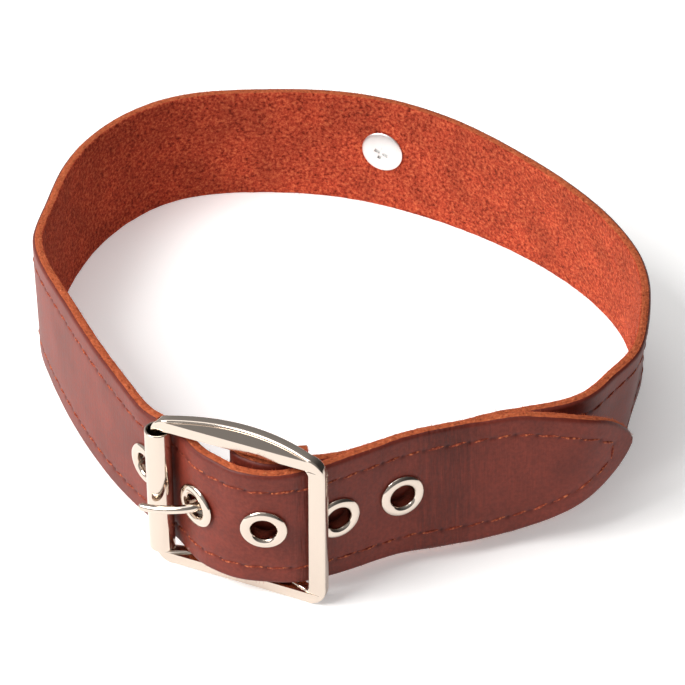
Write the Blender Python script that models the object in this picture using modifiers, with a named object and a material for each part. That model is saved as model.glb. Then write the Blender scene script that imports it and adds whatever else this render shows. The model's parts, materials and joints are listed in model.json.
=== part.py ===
"""Buckled leather dog collar: one strap, a centre-bar roller buckle, five eyelets and a screw stud.

The collar stands on the edge of its strap, as it does on a table. Seen from above, the strap runs from
its pointed end through the buckle, once round the loop, and back behind the pointed end to a fold round
the buckle's centre bar. Lengths are in metres, +X is right, +Y is away from the buckle and +Z is up.
"""

import math

import bmesh
import bpy
import numpy as np
from mathutils import Matrix, Vector

MM = 0.001

# Strap: the loop is measured over the middle of the leather.
STRAP_WIDTH = 35 * MM
LEATHER = 2.8 * MM
LOOP_WIDTH = 157 * MM
LOOP_DEPTH = 176 * MM
TIP_TO_EYELET = 62 * MM
TIP_TAPER = 34 * MM
TIP_BLUNT = 0.9 * MM
TIP_FULLNESS = 1.6
TIP_ROUNDING = 0.62
FLAP_LENGTH = 17 * MM
SLOT_HEIGHT = 8 * MM

# Buckle: a flat frame with bowed rails, a round centre bar, a roller and a wire prong.
BUCKLE_WIDTH = 46 * MM
RAIL_HEIGHT = 4.0 * MM
END_BAR_WIDTH = 4.5 * MM
ROLLER_BAR_WIDTH = 3.2 * MM
FRAME_THICKNESS = 2.8 * MM
FRAME_CORNER = 5.0 * MM
OPENING_CORNER = 1.2 * MM
ROLLER_END_CORNER = 0.3 * MM
FRAME_EDGE = 0.6 * MM
FRAME_EDGE_STEPS = 1
RAIL_BOW = 4.0 * MM
CENTRE_BAR_RADIUS = 1.6 * MM
CENTRE_BAR_SHIFT = 1.0 * MM
ROLLER_RADIUS = 3.25 * MM
ROLLER_WALL = 0.6 * MM
ROLLER_EDGE = 0.2 * MM
PRONG_RADIUS = 1.25 * MM
PRONG_TIP_RADIUS = 1.0 * MM
PRONG_REACH = 10.6 * MM
PRONG_DROOP = 2.4 * MM
RAIL_TO_STRAP = 0.5 * MM
OPENING_PLAY = 2.0 * MM
FOLD_TO_STRAP = 2.0 * MM
STRAP_TO_END_BAR = 2.2 * MM
STRAP_TO_ROLLER = 0.6 * MM

# Eyelets and the screw stud.
EYELET_PAST_END_BAR = 3.4 * MM
EYELET_RISE = 0.6 * MM
EYELET_RADIUS = 5.8 * MM
EYELET_HOLE_RADIUS = 3.1 * MM
EYELET_WALL = 0.45 * MM
EYELET_DOME = 1.0 * MM
CLINCH_RADIUS = 5.0 * MM
CLINCH_DOME = 0.75 * MM
SCREW_HEAD_RADIUS = 6.1 * MM
SCREW_HEAD_HEIGHT = 1.1 * MM
SCREW_SHANK_RADIUS = 1.5 * MM
CROSS_LENGTH = 4.2 * MM
CROSS_WIDTH = 1.1 * MM
CROSS_DEPTH = 0.7 * MM
CROSS_TURN = math.radians(20)
POST_HEAD_RADIUS = 6.0 * MM
POST_HEAD_HEIGHT = 1.6 * MM
POST_HEAD_BEVEL = 0.5 * MM
POST_WALL = 0.7 * MM
SCREW_RISE = 1.0 * MM
SCREW_BEYOND_BACK = 33 * MM

# Clearance between solids that touch on the real collar, and how far a flange bites into the leather.
GAP = 0.3 * MM
SEAT_BITE = 0.3 * MM
CUT_MARGIN = 3 * MM

# Where the buckle stands: shares of the loop from its middle, and its turn seen from above.
BUCKLE_AT = (-0.158, -0.466)
BUCKLE_TURN = math.radians(-23.6)

# Where each eyelet sits along the strap, in steps of EYELET_PITCH from the one nearest the pointed end.
# They are set by hand, so the steps are a little uneven. The prong goes through the fourth, and the
# second then stands EYELET_PAST_END_BAR past the end bar.
EYELETS_AT = (0.0, 0.94, 1.89, 2.86, 3.98)
ENGAGED_EYELET = 3
EYELET_BY_END_BAR = 1

# The strap's middle line, a row for each station picked on the real collar. Columns: share of
# LOOP_WIDTH to the right of the middle, share of LOOP_DEPTH away from the buckle, lean of the top edge
# towards the middle in degrees, and rise of the lower edge as a share of what the buckle gives it.
FREE_END = (
    # right, away, lean, rise
    (0.500, -0.292, 0.5, 1.20),
    (0.456, -0.315, 0.3, 1.38),
    (0.375, -0.370, -0.2, 1.52),
    (0.281, -0.383, 2.2, 1.14),
    (0.185, -0.404, 5.0, 1.00),
    (0.104, -0.424, 2.9, 1.00),
    (0.024, -0.460, 1.0, 1.00),
)
LOOP = (
    # right, away, lean, rise
    (-0.294, -0.364, -1.9, 0.85),
    (-0.329, -0.318, -0.2, 0.75),
    (-0.399, -0.199, 2.4, 0.50),
    (-0.454, -0.084, 2.2, 0.30),
    (-0.489, -0.002, 0.4, 0.18),
    (-0.511, 0.079, -0.1, 0.08),
    (-0.501, 0.169, 0.7, 0.00),
    (-0.479, 0.264, -0.5, 0.00),
    (-0.412, 0.390, -0.1, 0.00),
    (-0.307, 0.471, 2.5, 0.00),
    (-0.153, 0.496, 2.9, 0.00),
    (0.001, 0.485, 0.4, 0.00),
    (0.145, 0.434, -0.3, 0.00),
    (0.287, 0.339, 4.5, 0.00),
    (0.412, 0.213, 7.3, 0.00),
    (0.481, 0.093, 5.7, 0.00),
    (0.498, -0.006, 0.6, 0.00),
    (0.486, -0.083, -4.4, 0.00),
    (0.472, -0.146, -6.5, 0.02),
    (0.453, -0.201, -6.2, 0.06),
    (0.421, -0.248, -4.5, 0.12),
    (0.379, -0.302, -2.9, 0.22),
)

# The free end inside the buckle. Columns: share of the way from the centre bar to the end bar (to the
# roller where it is negative), drop behind the layer's crest as a share of the leather, and lean.
OVER_THE_FOLD = (
    # along, drop, lean
    (0.70, 1.66, -1.4),
    (0.36, 0.44, -3.3),
    (0.03, 0.00, -2.1),
    (-0.22, 0.28, -0.5),
    (-0.47, 0.90, 0.0),
)

# The buckle end, which lies behind the free end. Columns: share of the way along the strap from its
# pointed end to the prong, and there the gap between the two layers as a share of the leather, and rise.
BEHIND_FREE_END = (
    # along, gap, rise
    (0.30, 1.00, 0.26),
    (0.40, 0.35, 0.26),
    (0.50, 0.20, 0.28),
    (0.59, 0.20, 0.36),
    (0.66, 0.24, 0.52),
    (0.72, 0.36, 0.80),
    (0.785, 0.50, 0.98),
    (0.84, 0.60, 1.00),
)

# The prong's middle line. Columns: share of the way from the centre bar to the roller, out from the
# engaged eyelet's middle (behind it where it is negative) as a share of PRONG_REACH, and droop.
PRONG_LINE = (
    # along, out, droop
    (0.155, -0.40, 0.00),
    (0.285, -0.28, 0.00),
    (0.430, -0.09, 0.05),
    (0.560, 0.155, 0.15),
    (0.710, 0.300, 0.35),
    (0.880, 0.365, 0.65),
    (1.020, 0.375, 0.88),
    (1.110, 0.360, 1.00),
)

# Sections of the turned pieces. Columns: radius as a share of the way from the inner to the outer edge,
# or from the axis for the screw's head, and height above the seat as a share of the dome.
EYELET_FLANGE = (
    # radius, height
    (0.50, 1.00),
    (0.91, 0.60),
    (1.00, 0.00),
)
EYELET_CLINCH = (
    # radius, height
    (1.00, 0.00),
    (0.89, 0.60),
    (0.50, 1.00),
    (0.08, 0.60),
)
SCREW_HEAD = (
    # radius, height
    (1.00, 0.00),
    (0.97, 0.45),
    (0.75, 0.85),
    (0.40, 1.00),
    (0.00, 1.00),
)

# Fineness of the faceted solids, and where the strap's curve is held as it passes the buckle.
STATION_STEP = 4.5 * MM
STATION_TURN = math.radians(14)
TIP_STATIONS = 9
ROUND_SEGMENTS = 24
SAMPLE_STEP = 0.25 * MM
TIP_SPACING = 1.6
PRONG_STEP = 2.25 * MM
NOSE_TURNS = (math.radians(30), math.radians(58))
WIRE_SEGMENTS = 12
CORNER_STEPS = 5
RAIL_STEP = 3.5 * MM
FOLD_STEPS = 4
FLAP_STEPS = 4
ROLLER_LEAD = math.radians(43)
END_BAR_LEAD = 0.2
WELD_DISTANCE = 0.001 * MM

OPENING_HEIGHT = STRAP_WIDTH + OPENING_PLAY
BUCKLE_HEIGHT = OPENING_HEIGHT + 2 * RAIL_HEIGHT
STRAP_RISE = RAIL_HEIGHT + RAIL_TO_STRAP
MID_HEIGHT = STRAP_RISE + STRAP_WIDTH / 2
END_BAR_AT = BUCKLE_WIDTH / 2 - END_BAR_WIDTH / 2
ROLLER_AT = -BUCKLE_WIDTH / 2 + ROLLER_BAR_WIDTH / 2
FOLD_RADIUS = CENTRE_BAR_RADIUS + GAP + LEATHER / 2
CREST_OUT = FOLD_RADIUS + LEATHER + FOLD_TO_STRAP - RAIL_BOW
PRONG_TO_EYELET = PRONG_REACH - CENTRE_BAR_SHIFT + BUCKLE_WIDTH / 2 + EYELET_PAST_END_BAR
EYELET_PITCH = PRONG_TO_EYELET / (EYELETS_AT[ENGAGED_EYELET] - EYELETS_AT[EYELET_BY_END_BAR])

COLLECTION = bpy.data.collections.new("dog_collar")
CUTTERS = bpy.data.collections.new("cutters")


# Setting up the scene


def clear_scene():
    for old in list(bpy.data.objects):
        bpy.data.objects.remove(old)
    for collection in (COLLECTION, CUTTERS):
        bpy.context.scene.collection.children.link(collection)
    CUTTERS.hide_render = True


def material(name, colour, roughness, metallic):
    made = bpy.data.materials.new(name)
    made.use_nodes = True
    shader = made.node_tree.nodes["Principled BSDF"]
    shader.inputs["Base Color"].default_value = (*colour, 1.0)
    shader.inputs["Roughness"].default_value = roughness
    shader.inputs["Metallic"].default_value = metallic
    return made


def make_object(name, mesh, surface=None, collection=COLLECTION):
    made = bpy.data.objects.new(name, mesh)
    collection.objects.link(made)
    if surface:
        mesh.materials.append(surface)
    return made


def mesh_from(name, fill):
    """A mesh that the function fill draws in an empty bmesh."""
    mesh = bpy.data.meshes.new(name)
    drawing = bmesh.new()
    fill(drawing)
    drawing.to_mesh(mesh)
    drawing.free()
    return mesh


def cutter(name, mesh, matrix):
    made = make_object(name, mesh, collection=CUTTERS)
    made.matrix_world = matrix
    made.hide_render = True
    made.display_type = "WIRE"
    return made


def cut_with(target, tool, operation="DIFFERENCE"):
    boolean = target.modifiers.new(tool.name, "BOOLEAN")
    boolean.operation = operation
    boolean.object = tool
    boolean.solver = "EXACT"


def frozen(name, source, surface):
    """A mesh object with the shape that source has after its modifiers, which takes its place."""
    bpy.context.view_layer.update()
    graph = bpy.context.evaluated_depsgraph_get()
    mesh = bpy.data.meshes.new_from_object(source.evaluated_get(graph))
    placed = source.matrix_world.copy()
    weld = bmesh.new()
    weld.from_mesh(mesh)
    bmesh.ops.remove_doubles(weld, verts=weld.verts, dist=WELD_DISTANCE)
    weld.to_mesh(mesh)
    weld.free()
    mesh.materials.clear()
    bpy.data.objects.remove(source)
    made = make_object(name, mesh, surface)
    made.matrix_world = placed
    return made


def cylinder_mesh(name, radius, low, high, segments=ROUND_SEGMENTS):
    def fill(drawing):
        bmesh.ops.create_cone(
            drawing,
            cap_ends=True,
            segments=segments,
            radius1=radius,
            radius2=radius,
            depth=high - low,
            matrix=Matrix.Translation((0, 0, (low + high) / 2)),
        )

    return mesh_from(name, fill)


def turned(name, profile, surface, segments=ROUND_SEGMENTS):
    """A ring or a capped solid turned round local Z from (radius, height) points, top of the outside first."""
    closed = all(radius > 0 for radius, _ in profile)

    def fill(drawing):
        points = [drawing.verts.new((radius, 0, height)) for radius, height in profile]
        for first, second in zip(points, points[1:]):
            drawing.edges.new((first, second))
        if closed:
            drawing.edges.new((points[-1], points[0]))

    made = make_object(name, mesh_from(name, fill), surface)
    screw = made.modifiers.new("Turn", "SCREW")
    screw.axis = "Z"
    screw.angle = math.tau
    screw.steps = screw.render_steps = segments
    screw.use_merge_vertices = True
    screw.merge_threshold = 10 * WELD_DISTANCE
    screw.use_smooth_shade = True
    return made


# The strap's route


def natural_spline(knots, values, at):
    """Cubic curve with no bend at its ends through the rows of values, read at the places at."""
    steps = np.diff(knots)
    system = np.eye(len(knots))
    bends = np.zeros_like(values)
    for i in range(1, len(knots) - 1):
        system[i, i - 1 : i + 2] = steps[i - 1], 2 * (steps[i - 1] + steps[i]), steps[i]
        before = (values[i] - values[i - 1]) / steps[i - 1]
        after = (values[i + 1] - values[i]) / steps[i]
        bends[i] = 6 * (after - before)
    bends = np.linalg.solve(system, bends)
    span = np.clip(np.searchsorted(knots, at, side="right") - 1, 0, len(knots) - 2)
    width = steps[span][:, None]
    late = ((at - knots[span]) / steps[span])[:, None]
    early = 1 - late
    curved = (early**3 - early) * bends[span] + (late**3 - late) * bends[span + 1]
    return early * values[span] + late * values[span + 1] + curved * width**2 / 6


def smooth_path(rows):
    """The rows joined by one smooth curve, sampled every SAMPLE_STEP or so."""
    rows = np.array(rows, float)
    chords = np.linalg.norm(np.diff(rows[:, :2], axis=0), axis=1)
    knots = np.concatenate([[0.0], np.cumsum(chords)])
    at = np.linspace(0, knots[-1], int(knots[-1] / SAMPLE_STEP) + 2)
    return natural_spline(knots, rows, at)


def buckle_point(along, out):
    """World X and Y of a place in the buckle: along its rails, and out from its face."""
    middle = np.array([BUCKLE_AT[0] * LOOP_WIDTH, BUCKLE_AT[1] * LOOP_DEPTH])
    rail = np.array([math.cos(BUCKLE_TURN), math.sin(BUCKLE_TURN)])
    face = np.array([math.sin(BUCKLE_TURN), -math.cos(BUCKLE_TURN)])
    return middle + along * rail + out * face


def along_in_buckle(share):
    """Distance along the rails, from a share of the way from the centre bar to an end of the buckle."""
    reach = END_BAR_AT - CENTRE_BAR_SHIFT if share > 0 else CENTRE_BAR_SHIFT - ROLLER_AT
    return CENTRE_BAR_SHIFT + share * reach


def free_end_rows():
    """The first half of the route: from the pointed end, over the fold and behind the roller."""
    rows = table_rows(FREE_END)
    end_bar_out = -(FRAME_THICKNESS / 2 + GAP + STRAP_TO_END_BAR + LEATHER / 2)
    end_bar_along = END_BAR_AT - END_BAR_LEAD * END_BAR_WIDTH
    rows.append((*buckle_point(end_bar_along, end_bar_out), 0.0, STRAP_RISE))
    for share, drop, lean in OVER_THE_FOLD:
        point = buckle_point(along_in_buckle(share), CREST_OUT - drop * LEATHER)
        rows.append((*point, math.radians(lean), STRAP_RISE))
    off_roller = ROLLER_RADIUS + STRAP_TO_ROLLER + LEATHER / 2
    away = (ROLLER_AT + off_roller * math.sin(ROLLER_LEAD), -off_roller * math.cos(ROLLER_LEAD))
    rows.append((*buckle_point(*away), 0.0, STRAP_RISE))
    return rows


def table_rows(table):
    return [
        (right * LOOP_WIDTH, away * LOOP_DEPTH, math.radians(lean), rise * STRAP_RISE)
        for right, away, lean, rise in table
    ]


def lengths_of(path):
    steps = np.linalg.norm(np.diff(path[:, :2], axis=0), axis=1)
    return np.concatenate([[0.0], np.cumsum(steps)])


def prong_crossing(path, along):
    """Length along the path at which the prong goes through it."""
    rail = buckle_point(1, 0) - buckle_point(0, 0)
    past = (buckle_point(CENTRE_BAR_SHIFT - PRONG_REACH, 0) - path[: len(path) // 2, :2]) @ rail
    return along[int(np.argmax(past > 0))]


def behind(path, along, length, distance):
    """The place at a distance behind the path, and its lean, at a length along it."""
    here = np.array([np.interp(length, along, column) for column in path.T])
    step = [np.interp(length + SAMPLE_STEP, along, column) for column in path.T[:2]] - here[:2]
    step /= np.linalg.norm(step)
    return here[:2] + distance * np.array([step[1], -step[0]]), here[2]


def strap_route():
    """(samples of x, y, lean and rise, length at each from the pointed end), down to the flap's end."""
    first = free_end_rows()
    loop = table_rows(LOOP)
    free = smooth_path(first + loop)
    along = lengths_of(free)
    prong_at = TIP_TO_EYELET + EYELETS_AT[ENGAGED_EYELET] * EYELET_PITCH
    along -= prong_crossing(free, along) - prong_at

    inner = []
    for share, gap, rise in BEHIND_FREE_END:
        place, lean = behind(free, along, share * prong_at, LEATHER * (1 + gap))
        inner.append((*place, lean, rise * STRAP_RISE))
    bend = []
    for turn in np.linspace(0, math.pi, FOLD_STEPS + 1):
        out = FOLD_RADIUS * math.cos(turn) - RAIL_BOW
        place = buckle_point(CENTRE_BAR_SHIFT - FOLD_RADIUS * math.sin(turn), out)
        bend.append((*place, 0.0, STRAP_RISE))

    path = smooth_path(inner + bend)
    lengths = lengths_of(path)
    bar = buckle_point(CENTRE_BAR_SHIFT, FOLD_RADIUS - RAIL_BOW)
    front = lengths[int(np.argmin(np.linalg.norm(path[:, :2] - bar, axis=1)))]
    flap = []
    for share in np.linspace(0, 1, FLAP_STEPS + 1)[1:]:
        distance = 2 * FOLD_RADIUS - share * (2 * FOLD_RADIUS - LEATHER - 2 * GAP)
        place, _ = behind(path, lengths, front - share * FLAP_LENGTH, distance)
        flap.append((*place, 0.0, STRAP_RISE))
    path = smooth_path(first + loop + inner + bend + flap)
    along = lengths_of(path)
    return path, along - prong_crossing(path, along) + prong_at


class Route:
    """The strap's middle line, read by the length from the pointed end."""

    def __init__(self):
        self.path, self.along = strap_route()
        self.length = self.along[-1]
        self.eyelets = [TIP_TO_EYELET + share * EYELET_PITCH for share in EYELETS_AT]
        self.tangents = np.gradient(self.path[:, :2], self.along, axis=0)
        self.tangents /= np.linalg.norm(self.tangents, axis=1)[:, None]

    def at(self, along):
        """(point at mid height, run of the strap, way up the strap, way out of its grain side).

        The pointed end runs straight on where the rows of the table stop short of it.
        """
        columns = [np.interp(along, self.along, column) for column in self.path.T]
        x, y, lean, rise = columns
        run = Vector([np.interp(along, self.along, column) for column in self.tangents.T] + [0.0])
        run.normalize()
        short = min(along - self.along[0], 0.0)
        inward = Vector((run.y, -run.x, 0))
        up = inward * math.sin(lean) + Vector((0, 0, math.cos(lean)))
        lower_corner = STRAP_WIDTH / 2 * math.cos(lean) + LEATHER / 2 * abs(math.sin(lean))
        point = Vector((x, y, max(rise, 0.0) + lower_corner)) + run * short
        return point, run, up, run.cross(up).normalized() * -1

    def back_middle(self):
        """The length at which the strap's middle line is furthest from the buckle."""
        return self.along[int(np.argmax(self.path[:, 1]))]

    def stations(self):
        """Lengths at which the strap gets a row of points, closer together where it turns more."""
        tip = [TIP_TAPER / 3 * (i / TIP_STATIONS) ** TIP_SPACING for i in range(TIP_STATIONS)]
        inside = self.along > tip[-1]
        lengths = self.along[inside]
        headings = np.unwrap(np.arctan2(self.tangents[inside, 1], self.tangents[inside, 0]))
        turning = np.abs(np.diff(headings)) / STATION_TURN
        effort = np.concatenate([[0.0], np.cumsum(np.diff(lengths) / STATION_STEP + turning)])
        wanted = np.linspace(0, effort[-1], int(effort[-1]) + 1)
        return tip[:-1] + list(np.interp(wanted, effort, lengths))


def half_width(along):
    """Half the strap's width at a length from its pointed end, which tapers in two shallow arcs."""
    share = min(max(along / TIP_TAPER, 0.0), 1.0)
    ogive = (1 - (1 - share) ** TIP_FULLNESS) ** TIP_ROUNDING
    return max(STRAP_WIDTH / 2 * ogive, TIP_BLUNT)


def placed_on_strap(route, along, rise=0.0):
    """Matrix whose Z leaves the strap's grain side at a length from the pointed end."""
    point, run, up, out = route.at(along)
    turn = Matrix((run, up, out)).transposed()
    if turn.determinant() < 0:
        turn = Matrix((-run, up, out)).transposed()
    return Matrix.Translation(point + up * rise) @ turn.to_4x4()


# The pieces


def screw_place(route):
    return route.back_middle() + SCREW_BEYOND_BACK


def make_strap(route, leather):
    """The strap: a ribbon along the route, given its thickness, pointed at one end and cut for the metal."""
    rows = (-1.0, 0.0, 1.0)

    def fill(drawing):
        columns = []
        for along in route.stations():
            point, _, up, _ = route.at(along)
            column = [drawing.verts.new(point + up * half_width(along) * row) for row in rows]
            columns.append(column)
        for left, right in zip(columns, columns[1:]):
            for low in range(len(rows) - 1):
                drawing.faces.new((left[low], right[low], right[low + 1], left[low + 1]))
        bmesh.ops.recalc_face_normals(drawing, faces=drawing.faces)

    ribbon = make_object("strap_ribbon", mesh_from("strap_ribbon", fill))
    solidify = ribbon.modifiers.new("Leather", "SOLIDIFY")
    solidify.thickness = LEATHER
    solidify.offset = 0.0
    solidify.use_even_offset = True
    strap = frozen("strap", ribbon, leather)

    hole_radius = EYELET_HOLE_RADIUS + EYELET_WALL + GAP
    for number, along in enumerate(route.eyelets, 1):
        place = placed_on_strap(route, along, EYELET_RISE)
        cut_seats(strap, f"eyelet_{number}", place, hole_radius, EYELET_RADIUS, CLINCH_RADIUS)
    stud_hole = SCREW_SHANK_RADIUS + GAP + POST_WALL + GAP
    place = placed_on_strap(route, screw_place(route), SCREW_RISE)
    cut_seats(strap, "stud", place, stud_hole, POST_HEAD_RADIUS, SCREW_HEAD_RADIUS)

    slot_radius = FOLD_RADIUS + LEATHER / 2 + 2 * GAP
    slot = cylinder_mesh("prong_slot", slot_radius, -SLOT_HEIGHT / 2, SLOT_HEIGHT / 2)
    bar = buckle_point(CENTRE_BAR_SHIFT, -RAIL_BOW)
    middle = Vector((*bar, MID_HEIGHT))
    cut_with(strap, cutter("prong_slot", slot, Matrix.Translation(middle)))
    return strap


def cut_seats(strap, name, place, hole, outer_seat, inner_seat):
    """A hole with a shallow flat seat on each side, cut no further than the pieces that it is for reach."""
    half = LEATHER / 2
    level = half - SEAT_BITE
    behind_it = -(level + GAP + CLINCH_DOME + GAP)
    shapes = (
        ("hole", hole, -half - GAP / 2, half + CUT_MARGIN),
        ("outer", outer_seat + GAP, level, half + CUT_MARGIN),
        ("inner", inner_seat + GAP, behind_it, -level),
    )
    for part, radius, low, high in shapes:
        mesh = cylinder_mesh(f"{name}_{part}", radius, low, high)
        cut_with(strap, cutter(f"{name}_{part}", mesh, place))


def make_eyelets(route, nickel):
    """An eyelet in each hole: a domed flange on the grain side, a barrel, and a clinched rim behind."""
    seat = LEATHER / 2 - SEAT_BITE + GAP
    bore = EYELET_HOLE_RADIUS
    barrel = bore + EYELET_WALL
    profile = []
    for share, height in EYELET_FLANGE:
        profile.append((bore + share * (EYELET_RADIUS - bore), seat + height * EYELET_DOME))
    profile += [(barrel, seat), (barrel, -seat)]
    for share, height in EYELET_CLINCH:
        profile.append((bore + share * (CLINCH_RADIUS - bore), -seat - height * CLINCH_DOME))
    profile += [(bore, CLINCH_DOME - seat), (bore, seat), (barrel, seat + EYELET_DOME * 2 / 3)]
    made = []
    for number, along in enumerate(route.eyelets, 1):
        eyelet = turned(f"eyelet_{number}", profile, nickel)
        eyelet.matrix_world = placed_on_strap(route, along, EYELET_RISE)
        made.append(eyelet)
    return made


def make_stud(route, steel, nickel):
    """The cross-slotted screw on the suede side, and the plain post on the grain side that it runs into."""
    place = placed_on_strap(route, screw_place(route), SCREW_RISE)
    seat = LEATHER / 2 - SEAT_BITE + GAP
    shank_end = seat - GAP
    screw_profile = [(0.0, shank_end), (SCREW_SHANK_RADIUS, shank_end), (SCREW_SHANK_RADIUS, -seat)]
    for radius, height in SCREW_HEAD:
        screw_profile.append((radius * SCREW_HEAD_RADIUS, -seat - height * SCREW_HEAD_HEIGHT))
    screw = turned("screw", screw_profile, steel)
    screw.matrix_world = place
    for turn in (0, math.pi / 2):

        def fill(drawing):
            bmesh.ops.create_cube(drawing, size=1.0)
            depth = 2 * CROSS_DEPTH
            bmesh.ops.scale(drawing, vec=(CROSS_LENGTH, CROSS_WIDTH, depth), verts=drawing.verts)

        drop = Matrix.Translation((0, 0, -seat - SCREW_HEAD_HEIGHT))
        spin = Matrix.Rotation(turn + CROSS_TURN, 4, "Z")
        tool = cutter("cross", mesh_from("cross", fill), place @ drop @ spin)
        cut_with(screw, tool)

    inner = SCREW_SHANK_RADIUS + GAP
    barrel = inner + POST_WALL
    post_profile = (
        (0.0, seat + POST_HEAD_HEIGHT),
        (POST_HEAD_RADIUS - POST_HEAD_BEVEL, seat + POST_HEAD_HEIGHT),
        (POST_HEAD_RADIUS, seat + POST_HEAD_HEIGHT - POST_HEAD_BEVEL),
        (POST_HEAD_RADIUS, seat),
        (barrel, seat),
        (barrel, -seat + GAP),
        (inner, -seat + GAP),
        (inner, seat),
        (0.0, seat),
    )
    post = turned("screw_post", post_profile, nickel)
    post.matrix_world = place
    return [screw, post]


def rounded_rectangle(left, right, low, high, left_radius, right_radius):
    """Points round a rectangle with round corners, with more along its rails so that they can be bowed."""
    corners = (
        (right, high, right_radius, -1, -1, 0),
        (left, high, left_radius, 1, -1, 90),
        (left, low, left_radius, 1, 1, 180),
        (right, low, right_radius, -1, 1, 270),
    )
    points = []
    for x, z, radius, right_way, up_way, start in corners:
        for step in range(CORNER_STEPS + 1):
            angle = math.radians(start + 90 * step / CORNER_STEPS)
            across = x + radius * (right_way + math.cos(angle))
            points.append((across, z + radius * (up_way + math.sin(angle))))
        if start in (0, 180):
            run = (right - left) - left_radius - right_radius
            count = max(2, round(run / RAIL_STEP))
            x0, z0 = points[-1]
            way = -1 if start == 0 else 1
            points += [(x0 + way * run * i / count, z0) for i in range(1, count)]
    return points


def rail_bow(along):
    """How far back the rails are bowed at a distance along them: not at all at the two end bars."""
    share = min(abs(along) / (BUCKLE_WIDTH / 2 - END_BAR_WIDTH), 1.0)
    return RAIL_BOW * (1 - share**2)


def make_frame(buckle, nickel):
    """The cast frame: a plate with one opening, bowed between its end bars, and a round centre bar."""
    plate = bpy.data.curves.new("frame_plate", "CURVE")
    plate.dimensions = "2D"
    plate.fill_mode = "BOTH"
    plate.extrude = FRAME_THICKNESS / 2 - FRAME_EDGE
    plate.bevel_depth = FRAME_EDGE
    plate.bevel_resolution = FRAME_EDGE_STEPS
    plate.offset = -FRAME_EDGE
    half = BUCKLE_WIDTH / 2
    outlines = (
        rounded_rectangle(-half, half, 0, BUCKLE_HEIGHT, FRAME_CORNER, FRAME_CORNER),
        rounded_rectangle(
            -half + ROLLER_BAR_WIDTH,
            half - END_BAR_WIDTH,
            RAIL_HEIGHT,
            RAIL_HEIGHT + OPENING_HEIGHT,
            ROLLER_END_CORNER,
            OPENING_CORNER,
        ),
    )
    for points in outlines:
        spline = plate.splines.new("POLY")
        spline.points.add(len(points) - 1)
        for point, (x, z) in zip(spline.points, points):
            point.co = (x, z, 0, 1)
        spline.use_cyclic_u = True
    flat = make_object("frame_plate", plate)
    frame = frozen("buckle_frame", flat, nickel)
    frame.data.transform(Matrix.Rotation(math.radians(90), 4, "X"))
    for vertex in frame.data.vertices:
        vertex.co.y += rail_bow(vertex.co.x)
    foot = RAIL_HEIGHT / 3
    bar = cylinder_mesh("centre_bar", CENTRE_BAR_RADIUS, foot, BUCKLE_HEIGHT - foot)
    place = buckle.matrix_world @ Matrix.Translation((CENTRE_BAR_SHIFT, rail_bow(CENTRE_BAR_SHIFT), 0))
    frame.parent = buckle
    cut_with(frame, cutter("centre_bar", bar, place), "UNION")
    return frame


def make_roller(buckle, nickel):
    """The tube that turns on the frame's roller bar."""
    low, high = RAIL_HEIGHT + GAP, RAIL_HEIGHT + OPENING_HEIGHT - GAP
    inner = ROLLER_RADIUS - ROLLER_WALL
    profile = (
        (ROLLER_RADIUS - ROLLER_EDGE, high),
        (ROLLER_RADIUS, high - ROLLER_EDGE),
        (ROLLER_RADIUS, low + ROLLER_EDGE),
        (ROLLER_RADIUS - ROLLER_EDGE, low),
        (inner, low),
        (inner, high),
    )
    roller = turned("roller", profile, nickel)
    roller.parent = buckle
    roller.location = (ROLLER_AT, 0, 0)
    return roller


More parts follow.
